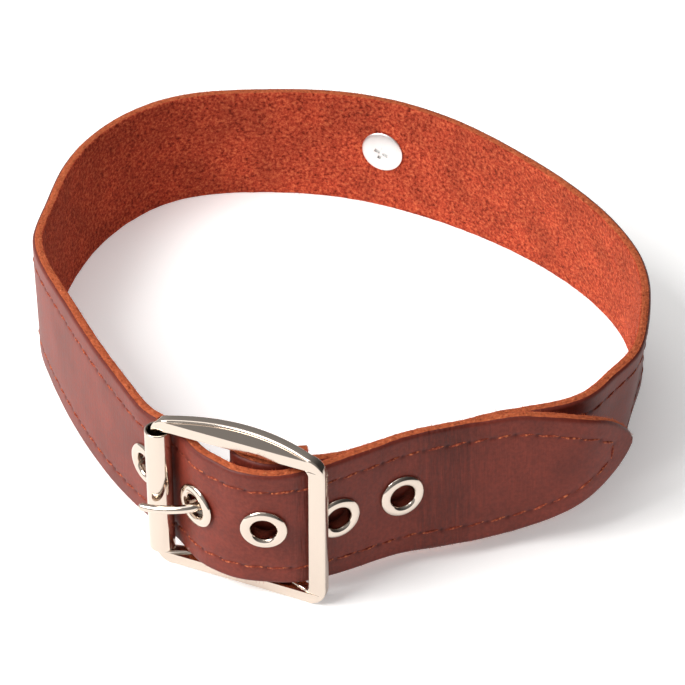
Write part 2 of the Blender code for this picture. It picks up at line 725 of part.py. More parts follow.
def make_prong(route, buckle, nickel):
    """The wire prong: an eye round the centre bar, and a shank through the engaged eyelet over the roller."""
    eye_radius = CENTRE_BAR_RADIUS + GAP + PRONG_RADIUS
    bar = Vector((*buckle_point(CENTRE_BAR_SHIFT, -RAIL_BOW), MID_HEIGHT))
    hole, _, _, _ = route.at(route.eyelets[ENGAGED_EYELET])
    face = Vector((math.sin(BUCKLE_TURN), -math.cos(BUCKLE_TURN), 0))
    hole_out = (hole - Vector((*buckle_point(0, 0), 0))).dot(face)
    middle = []
    for share, out, droop in PRONG_LINE:
        place = buckle_point(along_in_buckle(-share), hole_out + out * PRONG_REACH)
        middle.append((*place, MID_HEIGHT - droop * PRONG_DROOP))
    line = [Vector(point) for point in smooth_path(middle)[:: round(PRONG_STEP / SAMPLE_STEP)]]

    shank = bpy.data.curves.new("prong_shank", "CURVE")
    shank.dimensions = "3D"
    shank.bevel_depth = PRONG_RADIUS
    shank.bevel_resolution = 3
    shank.use_fill_caps = True
    spline = shank.splines.new("POLY")
    slim = PRONG_TIP_RADIUS / PRONG_RADIUS
    stations = [(place, 1 + (slim - 1) * i / (len(line) - 1)) for i, place in enumerate(line)]
    end, before = line[-1], line[-2]
    nose = (end - before).normalized() * PRONG_TIP_RADIUS
    stations += [(end + nose * math.sin(turn), slim * math.cos(turn)) for turn in NOSE_TURNS]
    spline.points.add(len(stations) - 1)
    for point, (place, radius) in zip(spline.points, stations):
        point.co = (*place, 1)
        point.radius = radius
    prong = frozen("prong", make_object("prong_shank", shank), nickel)

    def fill(drawing):
        rings = []
        for i in range(ROUND_SEGMENTS):
            turn = Matrix.Rotation(math.tau * i / ROUND_SEGMENTS, 3, "Z")
            ring = []
            for j in range(WIRE_SEGMENTS):
                angle = math.tau * j / WIRE_SEGMENTS
                across = eye_radius + PRONG_RADIUS * math.cos(angle)
                ring.append(drawing.verts.new(turn @ Vector((across, 0, PRONG_RADIUS * math.sin(angle)))))
            rings.append(ring)
        for i, ring in enumerate(rings):
            after = rings[(i + 1) % ROUND_SEGMENTS]
            for j in range(WIRE_SEGMENTS):
                k = (j + 1) % WIRE_SEGMENTS
                drawing.faces.new((ring[j], after[j], after[k], ring[k]))
        bmesh.ops.recalc_face_normals(drawing, faces=drawing.faces)

    eye = cutter("prong_eye", mesh_from("prong_eye", fill), Matrix.Translation(bar))
    cut_with(prong, eye, "UNION")
    return prong


def stand_on_origin(pieces):
    """Moves the whole collar so that the middle of its base is at the origin."""
    bpy.context.view_layer.update()
    graph = bpy.context.evaluated_depsgraph_get()
    points = []
    for piece in pieces:
        shown = piece.evaluated_get(graph)
        mesh = shown.to_mesh()
        points += [shown.matrix_world @ vertex.co for vertex in mesh.vertices]
        shown.to_mesh_clear()
    low = Vector([min(point[axis] for point in points) for axis in range(3)])
    high = Vector([max(point[axis] for point in points) for axis in range(3)])
    middle = (low + high) / 2
    shift = Vector((-middle.x, -middle.y, -low.z))
    for item in list(COLLECTION.objects) + list(CUTTERS.objects):
        if item.parent is None:
            item.location += shift
    bpy.context.view_layer.update()


def main():
    clear_scene()
    leather = material("leather", (0.19, 0.048, 0.030), 0.55, 0.0)
    nickel = material("nickel_plate", (0.80, 0.77, 0.72), 0.15, 1.0)
    steel = material("zinc_plated_steel", (0.85, 0.85, 0.84), 0.30, 1.0)

    buckle = bpy.data.objects.new("buckle", None)
    COLLECTION.objects.link(buckle)
    buckle.location = (*buckle_point(0, 0), 0)
    buckle.rotation_euler = (0, 0, BUCKLE_TURN)
    bpy.context.view_layer.update()

    route = Route()
    pieces = [make_strap(route, leather)]
    pieces += make_eyelets(route, nickel)
    pieces += make_stud(route, steel, nickel)
    pieces += [make_frame(buckle, nickel), make_roller(buckle, nickel), make_prong(route, buckle, nickel)]
    stand_on_origin(pieces)


main()
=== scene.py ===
"""Looks of a buckled leather dog collar: leather, stitches, fibres, nickel buckle, eyelets and stud.

It is laid out as an add-on with one operator for each group of pieces. Lengths are in metres, in the
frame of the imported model: +X right, +Y away from the buckle, +Z up, standing on Z = 0.
"""

import json
import math

import bmesh
import bpy
import numpy as np
from mathutils import Matrix, Vector, noise

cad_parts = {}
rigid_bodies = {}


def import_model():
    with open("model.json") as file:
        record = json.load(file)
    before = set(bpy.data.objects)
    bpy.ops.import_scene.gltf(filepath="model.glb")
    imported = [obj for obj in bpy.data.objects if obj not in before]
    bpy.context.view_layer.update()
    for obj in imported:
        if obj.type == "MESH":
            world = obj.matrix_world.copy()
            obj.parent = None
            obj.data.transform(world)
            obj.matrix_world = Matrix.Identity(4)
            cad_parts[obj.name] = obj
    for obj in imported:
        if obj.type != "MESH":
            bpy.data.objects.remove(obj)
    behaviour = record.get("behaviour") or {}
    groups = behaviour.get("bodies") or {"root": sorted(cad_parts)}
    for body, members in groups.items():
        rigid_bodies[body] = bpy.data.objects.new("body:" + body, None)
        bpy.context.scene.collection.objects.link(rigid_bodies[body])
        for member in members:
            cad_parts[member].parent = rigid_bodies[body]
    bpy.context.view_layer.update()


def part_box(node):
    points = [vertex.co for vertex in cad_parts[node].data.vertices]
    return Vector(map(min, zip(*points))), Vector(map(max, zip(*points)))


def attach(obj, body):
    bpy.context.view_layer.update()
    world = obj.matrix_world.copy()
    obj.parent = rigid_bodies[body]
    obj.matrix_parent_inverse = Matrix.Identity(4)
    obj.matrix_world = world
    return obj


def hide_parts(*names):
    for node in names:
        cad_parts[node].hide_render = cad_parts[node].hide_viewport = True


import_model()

bl_info = {
    "name": "Leather Dog Collar",
    "version": (1, 0, 0),
    "blender": (4, 5, 0),
    "location": "3D View > Sidebar > Collar",
    "description": "Makes the leather, stitches, buckle, eyelets and stud of a dog collar",
    "category": "Object",
}

MM = 0.001

# Sizes that the solids of the frame have too.
STRAP_WIDTH = 35 * MM
LEATHER = 2.8 * MM
LOOP_WIDTH = 157 * MM
LOOP_DEPTH = 176 * MM
TIP_TO_EYELET = 62 * MM
TIP_TAPER = 34 * MM
TIP_BLUNT = 0.9 * MM
TIP_FULLNESS = 1.6
TIP_ROUNDING = 0.62
FLAP_LENGTH = 17 * MM
SLOT_HEIGHT = 8 * MM
BUCKLE_WIDTH = 46 * MM
RAIL_HEIGHT = 4.0 * MM
END_BAR_WIDTH = 4.5 * MM
ROLLER_BAR_WIDTH = 3.2 * MM
FRAME_THICKNESS = 2.8 * MM
FRAME_CORNER = 5.0 * MM
OPENING_CORNER = 1.2 * MM
ROLLER_END_CORNER = 0.3 * MM
FRAME_EDGE = 0.6 * MM
RAIL_BOW = 4.0 * MM
CENTRE_BAR_RADIUS = 1.6 * MM
CENTRE_BAR_SHIFT = 1.0 * MM
ROLLER_RADIUS = 3.25 * MM
ROLLER_WALL = 0.6 * MM
PRONG_RADIUS = 1.25 * MM
PRONG_TIP_RADIUS = 1.0 * MM
PRONG_REACH = 10.6 * MM
PRONG_DROOP = 2.4 * MM
OPENING_PLAY = 2.0 * MM
FOLD_TO_STRAP = 2.0 * MM
STRAP_TO_END_BAR = 2.2 * MM
STRAP_TO_ROLLER = 0.6 * MM
STRAP_RISE = RAIL_HEIGHT + 0.5 * MM
EYELET_PITCH = 18.75 * MM
EYELET_RISE = 0.6 * MM
EYELET_RADIUS = 5.8 * MM
EYELET_HOLE_RADIUS = 3.1 * MM
EYELET_WALL = 0.45 * MM
EYELET_DOME = 1.0 * MM
CLINCH_RADIUS = 5.0 * MM
CLINCH_DOME = 0.75 * MM
SCREW_HEAD_RADIUS = 6.1 * MM
SCREW_HEAD_HEIGHT = 1.1 * MM
SCREW_SHANK_RADIUS = 1.5 * MM
CROSS_LENGTH = 4.2 * MM
CROSS_WIDTH = 1.1 * MM
CROSS_DEPTH = 0.7 * MM
CROSS_TURN = math.radians(20)
POST_HEAD_RADIUS = 6.0 * MM
POST_HEAD_HEIGHT = 1.6 * MM
POST_HEAD_BEVEL = 0.5 * MM
POST_WALL = 0.7 * MM
SCREW_RISE = 1.0 * MM
SCREW_BEYOND_BACK = 33 * MM
GAP = 0.3 * MM
SAMPLE_STEP = 0.25 * MM
BUCKLE_AT = (-0.158, -0.466)
BUCKLE_TURN = math.radians(-23.6)
ROLLER_LEAD = math.radians(43)
END_BAR_LEAD = 0.2
FOLD_STEPS = 4
FLAP_STEPS = 4
EYELETS_AT = (0.0, 0.94, 1.89, 2.86, 3.98)
ENGAGED_EYELET = 3

OPENING_HEIGHT = STRAP_WIDTH + OPENING_PLAY
BUCKLE_HEIGHT = OPENING_HEIGHT + 2 * RAIL_HEIGHT
MID_HEIGHT = STRAP_RISE + STRAP_WIDTH / 2
END_BAR_AT = BUCKLE_WIDTH / 2 - END_BAR_WIDTH / 2
ROLLER_AT = -BUCKLE_WIDTH / 2 + ROLLER_BAR_WIDTH / 2
FOLD_RADIUS = CENTRE_BAR_RADIUS + GAP + LEATHER / 2
CREST_OUT = FOLD_RADIUS + LEATHER + FOLD_TO_STRAP - RAIL_BOW

# The strap's middle line, a row for each station. Columns: share of LOOP_WIDTH to the right of the
# middle, share of LOOP_DEPTH away from the buckle, lean of the top edge towards the middle in degrees,
# and rise of the lower edge as a share of what the buckle gives it.
FREE_END = (
    # right, away, lean, rise
    (0.500, -0.292, 0.5, 1.20),
    (0.456, -0.315, 0.3, 1.38),
    (0.375, -0.370, -0.2, 1.52),
    (0.281, -0.383, 2.2, 1.14),
    (0.185, -0.404, 5.0, 1.00),
    (0.104, -0.424, 2.9, 1.00),
    (0.024, -0.460, 1.0, 1.00),
)
LOOP = (
    # right, away, lean, rise
    (-0.294, -0.364, -1.9, 0.85),
    (-0.329, -0.318, -0.2, 0.75),
    (-0.399, -0.199, 2.4, 0.50),
    (-0.454, -0.084, 2.2, 0.30),
    (-0.489, -0.002, 0.4, 0.18),
    (-0.511, 0.079, -0.1, 0.08),
    (-0.501, 0.169, 0.7, 0.00),
    (-0.479, 0.264, -0.5, 0.00),
    (-0.412, 0.390, -0.1, 0.00),
    (-0.307, 0.471, 2.5, 0.00),
    (-0.153, 0.496, 2.9, 0.00),
    (0.001, 0.485, 0.4, 0.00),
    (0.145, 0.434, -0.3, 0.00),
    (0.287, 0.339, 4.5, 0.00),
    (0.412, 0.213, 7.3, 0.00),
    (0.481, 0.093, 5.7, 0.00),
    (0.498, -0.006, 0.6, 0.00),
    (0.486, -0.083, -4.4, 0.00),
    (0.472, -0.146, -6.5, 0.02),
    (0.453, -0.201, -6.2, 0.06),
    (0.421, -0.248, -4.5, 0.12),
    (0.379, -0.302, -2.9, 0.22),
)

# The free end inside the buckle. Columns: share of the way from the centre bar to the end bar (to the
# roller where it is negative), drop behind the layer's crest as a share of the leather, and lean.
OVER_THE_FOLD = (
    # along, drop, lean
    (0.70, 1.66, -1.4),
    (0.36, 0.44, -3.3),
    (0.03, 0.00, -2.1),
    (-0.22, 0.28, -0.5),
    (-0.47, 0.90, 0.0),
)

# The buckle end, which lies behind the free end. Columns: share of the way from the pointed end to the
# prong, and there the gap between the two layers as a share of the leather, and rise.
BEHIND_FREE_END = (
    # along, gap, rise
    (0.30, 1.00, 0.26),
    (0.40, 0.35, 0.26),
    (0.50, 0.20, 0.28),
    (0.59, 0.20, 0.36),
    (0.66, 0.24, 0.52),
    (0.72, 0.36, 0.80),
    (0.785, 0.50, 0.98),
    (0.84, 0.60, 1.00),
)

# The prong's middle line. Columns: share of the way from the centre bar to the roller, out from the
# engaged eyelet's middle as a share of PRONG_REACH, and droop.
PRONG_LINE = (
    # along, out, droop
    (0.155, -0.40, 0.00),
    (0.285, -0.28, 0.00),
    (0.430, -0.09, 0.05),
    (0.560, 0.155, 0.15),
    (0.710, 0.300, 0.35),
    (0.880, 0.365, 0.65),
    (1.020, 0.375, 0.88),
    (1.110, 0.360, 1.00),
)

# How finely the leather and the metal are modelled.
STATION_STEP = 0.78 * MM
ROUND_STEPS = 96
COLUMN_INSETS = (1.9, 2.7, 3.5, 4.2, 4.7, 5.0, 5.25, 5.5, 5.8, 6.3, 7.3, 8.8, 10.6, 12.8, 15.1)
GRAIN_CORNER = 0.95 * MM
SUEDE_CORNER = 0.35 * MM
RAW_BULGE = 0.12 * MM
EDGE_DEPTH = 1.2 * MM
FRAY_REACH = 2.5 * MM
FURROW = 0.10 * MM
NEEDLE_DENT = 0.34 * MM
TIP_CENTRE = 3.5 * MM

# Sizes of what the materials draw.
DYE_CLOUD = 14 * MM
GRAIN_WRINKLE = 0.9 * MM
CREASE_WIDTH = 0.95 * MM
CREASE_LENGTH = 11 * MM
BRUSH_MARK = 9 * MM
FINE_NAP = 0.3 * MM
LAYER_LENGTH = 1.6 * MM
LAYER_DEPTH = 0.4 * MM
FIBRE_CLUMP = 0.8 * MM
THREAD_FLUFF = 0.7 * MM
PLATE_HAZE = 3 * MM
NICKEL_RIPPLE = 1.6 * MM
ZINC_RIPPLE = 0.5 * MM
PAPER_PULP = 2 * MM

# How far single stitches turn and vary from the rest, in radians and as shares of their size.
STITCH_SWAY = 0.07
SMALLEST_STITCH = (0.93, 0.85, 0.8)
LARGEST_STITCH = (1.0, 1.15, 1.2)

# Places in the strap's list of materials.
GRAIN, RAW_EDGE, SUEDE = range(3)

FLOOR_REACH = 3.0

# The photo's camera: distance and height angle of the view of the loop's middle, and its lens.
CAMERA_DISTANCE = 850 * MM
CAMERA_HEIGHT_ANGLE = math.radians(37)
CAMERA_AIM_AWAY = 15 * MM
SENSOR = 36.0
PIXELS_ACROSS = 685
PIXELS_PER_MM = 3.7
LENS = PIXELS_PER_MM * CAMERA_DISTANCE / MM * SENSOR / PIXELS_ACROSS


def linear(code):
    """Linear colour of an sRGB hex value."""
    parts = [int(code[i : i + 2], 16) / 255 for i in (0, 2, 4)]
    return tuple(part / 12.92 if part <= 0.04045 else ((part + 0.055) / 1.055) ** 2.4 for part in parts)


def colour(name, description, code):
    return bpy.props.FloatVectorProperty(
        name=name, description=description, default=linear(code), subtype="COLOR", size=3, min=0, max=1
    )


def length(name, description, millimetres):
    return bpy.props.FloatProperty(
        name=name, description=description, default=millimetres * MM, min=0, unit="LENGTH", precision=5
    )


class CollarLeather(bpy.types.PropertyGroup):
    grain: colour("Grain", "Dyed outside of the leather", "742E22")
    # Painted shade: the grain's colour goes to this at the needle holes, as shade in their dents, and along
    # the rounded edges, partly darker dye and partly shade of the rounding.
    grain_dye_and_shade: colour("Grain shade", "Darker dye in the pores and along the edges", "431512")
    suede: colour("Suede", "Nap on the inside of the strap", "B2402A")
    # The nap's colours: random mottling, with painted shade in its hollows (the darker one) and painted
    # highlight on its tips (the lighter one).
    suede_mottle_and_shade: colour("Suede shade", "Hollows between the fibres of the nap", "5E1409")
    suede_mottle_and_highlight: colour("Suede tips", "Tips of the fibres of the nap", "D87048")
    raw_edge: colour("Raw edge", "Cut edge of the leather", "C0603A")
    pore: length("Pore spacing", "Distance between the pores of the grain", 0.55)
    nap: length("Nap size", "Size of the tufts of the suede", 0.9)
    fibre_length: length("Fibre length", "Length of the loose fibres on the cut edges", 0.75)


class CollarStitches(bpy.types.PropertyGroup):
    thread: colour("Thread", "Sewing thread on the outside", "8A3A28")
    thread_light: colour("Thread fluff", "Worn bits of the thread", "C26C44")
    pitch: length("Pitch", "Distance from one needle hole to the next", 5.7)
    inset: length("Inset", "Distance from the edge of the strap to the stitches", 5.2)
    thickness: length("Thickness", "Thickness of the thread", 0.62)


class CollarMetal(bpy.types.PropertyGroup):
    nickel: colour("Nickel", "Plated buckle and eyelets", "D2C4B7")
    steel: colour("Steel", "Screw of the stud", "F0F0EE")
    polish: bpy.props.FloatProperty(
        name="Roughness",
        description="Roughness of the polished nickel",
        default=0.09,
        min=0,
        max=1,
        subtype="FACTOR",
    )


class CollarStage(bpy.types.PropertyGroup):
    floor: colour("Floor", "Pale floor", "F4F3F1")
    key_power: bpy.props.FloatProperty(
        name="Key light", description="Power of the large light at the left", default=17, min=0, unit="POWER"
    )
    floor_glow: bpy.props.FloatProperty(
        name="Floor glow", description="Light of the floor itself, which blows it out", default=0.33, min=0
    )


GROUPS = {
    "collar_leather": CollarLeather,
    "collar_stitches": CollarStitches,
    "collar_metal": CollarMetal,
    "collar_stage": CollarStage,
}


# The strap's route


def natural_spline(knots, values, at):
    """Cubic curve with no bend at its ends through the rows of values, read at the places at."""
    steps = np.diff(knots)
    system = np.eye(len(knots))
    bends = np.zeros_like(values)
    for i in range(1, len(knots) - 1):
        system[i, i - 1 : i + 2] = steps[i - 1], 2 * (steps[i - 1] + steps[i]), steps[i]
        bends[i] = 6 * ((values[i + 1] - values[i]) / steps[i] - (values[i] - values[i - 1]) / steps[i - 1])
    bends = np.linalg.solve(system, bends)
    span = np.clip(np.searchsorted(knots, at, side="right") - 1, 0, len(knots) - 2)
    width = steps[span][:, None]
    late = ((at - knots[span]) / steps[span])[:, None]
    early = 1 - late
    curved = (early**3 - early) * bends[span] + (late**3 - late) * bends[span + 1]
    return early * values[span] + late * values[span + 1] + curved * width**2 / 6


def smooth_path(rows):
    """The rows joined by one smooth curve, sampled every SAMPLE_STEP or so."""
    rows = np.array(rows, float)
    knots = np.concatenate([[0.0], np.cumsum(np.linalg.norm(np.diff(rows[:, :2], axis=0), axis=1))])
    return natural_spline(knots, rows, np.linspace(0, knots[-1], int(knots[-1] / SAMPLE_STEP) + 2))


def buckle_point(along, out):
    """Plan place in the buckle: along its rails, and out from its face, from the loop's middle."""
    middle = np.array([BUCKLE_AT[0] * LOOP_WIDTH, BUCKLE_AT[1] * LOOP_DEPTH])
    rail = np.array([math.cos(BUCKLE_TURN), math.sin(BUCKLE_TURN)])
    return middle + along * rail + out * np.array([rail[1], -rail[0]])


def along_in_buckle(share):
    """Distance along the rails, from a share of the way from the centre bar to an end of the buckle."""
    reach = END_BAR_AT - CENTRE_BAR_SHIFT if share > 0 else CENTRE_BAR_SHIFT - ROLLER_AT
    return CENTRE_BAR_SHIFT + share * reach


def table_rows(table):
    return [
        (right * LOOP_WIDTH, away * LOOP_DEPTH, math.radians(lean), rise * STRAP_RISE)
        for right, away, lean, rise in table
    ]


def free_end_rows():
    """The first half of the route: from the pointed end, over the fold and behind the roller."""
    rows = table_rows(FREE_END)
    end_bar_out = -(FRAME_THICKNESS / 2 + GAP + STRAP_TO_END_BAR + LEATHER / 2)
    rows.append((*buckle_point(END_BAR_AT - END_BAR_LEAD * END_BAR_WIDTH, end_bar_out), 0.0, STRAP_RISE))
    for share, drop, lean in OVER_THE_FOLD:
        point = buckle_point(along_in_buckle(share), CREST_OUT - drop * LEATHER)
        rows.append((*point, math.radians(lean), STRAP_RISE))
    off_roller = ROLLER_RADIUS + STRAP_TO_ROLLER + LEATHER / 2
    away = (ROLLER_AT + off_roller * math.sin(ROLLER_LEAD), -off_roller * math.cos(ROLLER_LEAD))
    rows.append((*buckle_point(*away), 0.0, STRAP_RISE))
    return rows


def lengths_of(path):
    return np.concatenate([[0.0], np.cumsum(np.linalg.norm(np.diff(path[:, :2], axis=0), axis=1))])


def prong_crossing(path, along):
    """Length along the path at which the prong goes through it."""
    rail = buckle_point(1, 0) - buckle_point(0, 0)
    past = (buckle_point(CENTRE_BAR_SHIFT - PRONG_REACH, 0) - path[: len(path) // 2, :2]) @ rail
    return along[int(np.argmax(past > 0))]


def behind(path, along, at, distance):
    """The place at a distance behind the path, and its lean, at a length along it."""
    here = np.array([np.interp(at, along, column) for column in path.T])
    step = [np.interp(at + SAMPLE_STEP, along, column) for column in path.T[:2]] - here[:2]
    step /= np.linalg.norm(step)
    return here[:2] + distance * np.array([step[1], -step[0]]), here[2]


def strap_route():
    """(samples of x, y, lean and rise, length at each from the pointed end), down to the flap's end."""
    first = free_end_rows()
    loop = table_rows(LOOP)
    free = smooth_path(first + loop)
    along = lengths_of(free)
    prong_at = TIP_TO_EYELET + EYELETS_AT[ENGAGED_EYELET] * EYELET_PITCH
    along -= prong_crossing(free, along) - prong_at
    inner = []
    for share, gap, rise in BEHIND_FREE_END:
        place, lean = behind(free, along, share * prong_at, LEATHER * (1 + gap))
        inner.append((*place, lean, rise * STRAP_RISE))
    bend = []
    for turn in np.linspace(0, math.pi, FOLD_STEPS + 1):
        out = FOLD_RADIUS * math.cos(turn) - RAIL_BOW
        bend.append((*buckle_point(CENTRE_BAR_SHIFT - FOLD_RADIUS * math.sin(turn), out), 0.0, STRAP_RISE))
    path = smooth_path(inner + bend)
    lengths = lengths_of(path)
    bar = buckle_point(CENTRE_BAR_SHIFT, FOLD_RADIUS - RAIL_BOW)
    front = lengths[int(np.argmin(np.linalg.norm(path[:, :2] - bar, axis=1)))]
    flap = []
    for share in np.linspace(0, 1, FLAP_STEPS + 1)[1:]:
        distance = 2 * FOLD_RADIUS - share * (2 * FOLD_RADIUS - LEATHER - 2 * GAP)
        place, _ = behind(path, lengths, front - share * FLAP_LENGTH, distance)
        flap.append((*place, 0.0, STRAP_RISE))
    path = smooth_path(first + loop + inner + bend + flap)
    along = lengths_of(path)
    return path, along - prong_crossing(path, along) + prong_at


def frame_shift():
    """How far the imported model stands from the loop's middle, read from the roller's axis."""
    low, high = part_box("roller")
    middle = (low + high) / 2
    return np.array([middle.x, middle.y]) - buckle_point(ROLLER_AT, 0)


SHIFT = frame_shift()


class Route:
    """The strap's middle line, read by the length from the pointed end."""

    def __init__(self):
        self.path, self.along = strap_route()
        self.length = self.along[-1]
        self.eyelets = [TIP_TO_EYELET + share * EYELET_PITCH for share in EYELETS_AT]
        back_middle = self.along[int(np.argmax(self.path[:, 1]))]
        self.stud = back_middle + SCREW_BEYOND_BACK
        tangents = np.gradient(self.path[:, :2], self.along, axis=0)
        self.tangents = tangents / np.linalg.norm(tangents, axis=1)[:, None]

    def frames(self, along):
        """Arrays of middle points, run, way up and way out of the grain side at the lengths given."""
        along = np.asarray(along, float)
        x, y, lean, rise = [np.interp(along, self.along, column) for column in self.path.T]
        run = np.stack([np.interp(along, self.along, column) for column in self.tangents.T], 1)
        run /= np.linalg.norm(run, axis=1)[:, None]
        zero = np.zeros_like(x)
        up = np.stack([run[:, 1] * np.sin(lean), -run[:, 0] * np.sin(lean), np.cos(lean)], 1)
        run = np.column_stack([run, zero])
        corner = STRAP_WIDTH / 2 * np.cos(lean) + LEATHER / 2 * np.abs(np.sin(lean))
        middle = np.column_stack([x + SHIFT[0], y + SHIFT[1], np.maximum(rise, 0) + corner])
        out = -np.cross(run, up)
        return middle, run, up, out / np.linalg.norm(out, axis=1)[:, None]

    def points(self, along, across, through):
        """World points of the leather from flat measures: along it, up from its middle, and out."""
        middle, _, up, out = self.frames(along)
        return middle + up * np.asarray(across)[:, None] + out * np.asarray(through)[:, None]

    def place(self, along, rise=0.0):
        """Matrix whose Z leaves the grain side at a length from the pointed end."""
        middle, run, up, out = [Vector(row[0]) for row in self.frames([along])]
        turn = Matrix((run, up, out)).transposed()
        if turn.determinant() < 0:
            turn = Matrix((-run, up, out)).transposed()
        return Matrix.Translation(middle + up * rise) @ turn.to_4x4()


ROUTE = Route()


def half_width(along):
    """Half the strap's width at a length from its pointed end, which tapers in two shallow arcs."""
    share = np.clip(np.asarray(along, float) / TIP_TAPER, 0, 1)
    ogive = (1 - (1 - share) ** TIP_FULLNESS) ** TIP_ROUNDING
    return np.maximum(STRAP_WIDTH / 2 * ogive, TIP_BLUNT)


# Helpers for meshes, materials and node trees


def make_object(name, mesh, *surfaces):
    made = bpy.data.objects.new(name, mesh)
    bpy.context.scene.collection.objects.link(made)
    for surface in surfaces:
        mesh.materials.append(surface)
    return made


def mesh_from(name, fill):
    """A mesh that the function fill draws in an empty bmesh."""
    mesh = bpy.data.meshes.new(name)
    drawing = bmesh.new()
    fill(drawing)
    drawing.to_mesh(mesh)
    drawing.free()
    return mesh


def applied(name, source):
    """A plain mesh object at the origin with the shape of source after its modifiers, in its place."""
    bpy.context.view_layer.update()
    graph = bpy.context.evaluated_depsgraph_get()
    mesh = bpy.data.meshes.new_from_object(source.evaluated_get(graph))
    mesh.transform(source.matrix_world)
    bpy.data.objects.remove(source)
    mesh.name = name
    return make_object(name, mesh)


def weld(mesh, distance=0.002 * MM):
    drawing = bmesh.new()
    drawing.from_mesh(mesh)
    bmesh.ops.remove_doubles(drawing, verts=drawing.verts, dist=distance)
    bmesh.ops.recalc_face_normals(drawing, faces=drawing.faces)
    drawing.to_mesh(mesh)
    drawing.free()


def smooth(mesh, degrees=35):
    mesh.shade_smooth()
    mesh.set_sharp_from_angle(angle=math.radians(degrees))


def cylinder(name, radius, low, high, matrix, steps=64):
    """A cutter: a closed cylinder along the matrix's Z."""

    def fill(drawing):
        bmesh.ops.create_cone(
            drawing,
            cap_ends=True,
            segments=steps,
            radius1=radius,
            radius2=radius,
            depth=high - low,
            matrix=matrix @ Matrix.Translation((0, 0, (low + high) / 2)),
        )

    return make_object(name, mesh_from(name, fill))


def cut(target, tools, operation="DIFFERENCE"):
    """Cuts or joins the tools, which don't touch each other, and removes them."""
    joined = mesh_from("tools", lambda drawing: [drawing.from_mesh(tool.data) for tool in tools])
    tool = make_object("tools", joined)
    boolean = target.modifiers.new("Cut", "BOOLEAN")
    boolean.operation = operation
    boolean.object = tool
    boolean.solver = "EXACT"
    made = applied(target.name, target)
    for item in list(tools) + [tool]:
        bpy.data.objects.remove(item)
    return made


def turned(name, profile, matrix, surface, steps=ROUND_STEPS):
    """A ring or capped solid turned round local Z from (radius, height) points."""
    closed = all(radius > 0 for radius, _ in profile)

    def fill(drawing):
        points = [drawing.verts.new((radius, 0, height)) for radius, height in profile]
        for first, second in zip(points, points[1:] + points[:1]):
            if closed or second is not points[0]:
                drawing.edges.new((first, second))
        bmesh.ops.spin(
            drawing,
            geom=drawing.verts[:] + drawing.edges[:],
            axis=(0, 0, 1),
            cent=(0, 0, 0),
            steps=steps,
            angle=math.tau,
        )
        bmesh.ops.remove_doubles(drawing, verts=drawing.verts, dist=0.002 * MM)
        bmesh.ops.recalc_face_normals(drawing, faces=drawing.faces)

    mesh = mesh_from(name, fill)
    mesh.transform(matrix)
    smooth(mesh)
    return make_object(name, mesh, surface)


def arc(centre, radius, start, end, steps):
    """Points of an arc in a profile, from and to angles in degrees."""
    return [
        (centre[0] + radius[0] * math.cos(angle), centre[1] + radius[1] * math.sin(angle))
        for angle in np.radians(np.linspace(start, end, steps + 1))
    ]


def finish_piece(piece, body, nodes=()):
    """Says what the piece rides on and which nodes it stands for."""
    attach(piece, body)
    if nodes:
        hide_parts(*nodes)
    return piece


def add(tree, kind, inputs=None, **settings):
    """A new node. The inputs give sockets, by name or number, a value or a socket to link from."""
    node = tree.nodes.new(kind)
    for key, value in settings.items():
        setattr(node, key, value)
    for key, value in (inputs or {}).items():
        if isinstance(value, bpy.types.NodeSocket):
            tree.links.new(value, node.inputs[key])
        else:
            node.inputs[key].default_value = value
    return node


def new_material(name, **values):
    """(material, its node tree, its Principled shader with the uniform values set on its sockets)."""
    made = bpy.data.materials.new(name)
    made.use_nodes = True
    shader = made.node_tree.nodes["Principled BSDF"]
    for key, value in values.items():
        shader.inputs[key.replace("_", " ")].default_value = value
    return made, made.node_tree, shader


def with_ramp(node, *stops):
    """Gives a Color Ramp node its stops, each a place from 0 to 1 and a colour or a grey."""
    elements = node.color_ramp.elements
    while len(elements) < len(stops):
        elements.new(1.0)
    for element, (place, value) in zip(elements, stops):
        element.position = place
        element.color = (*((value,) * 3 if isinstance(value, (int, float)) else value), 1)
    return node.outputs["Color"]


def shaded(tone, share):
    """The colour made darker or lighter by a share."""
    return tuple(share * part for part in tone)


# Materials


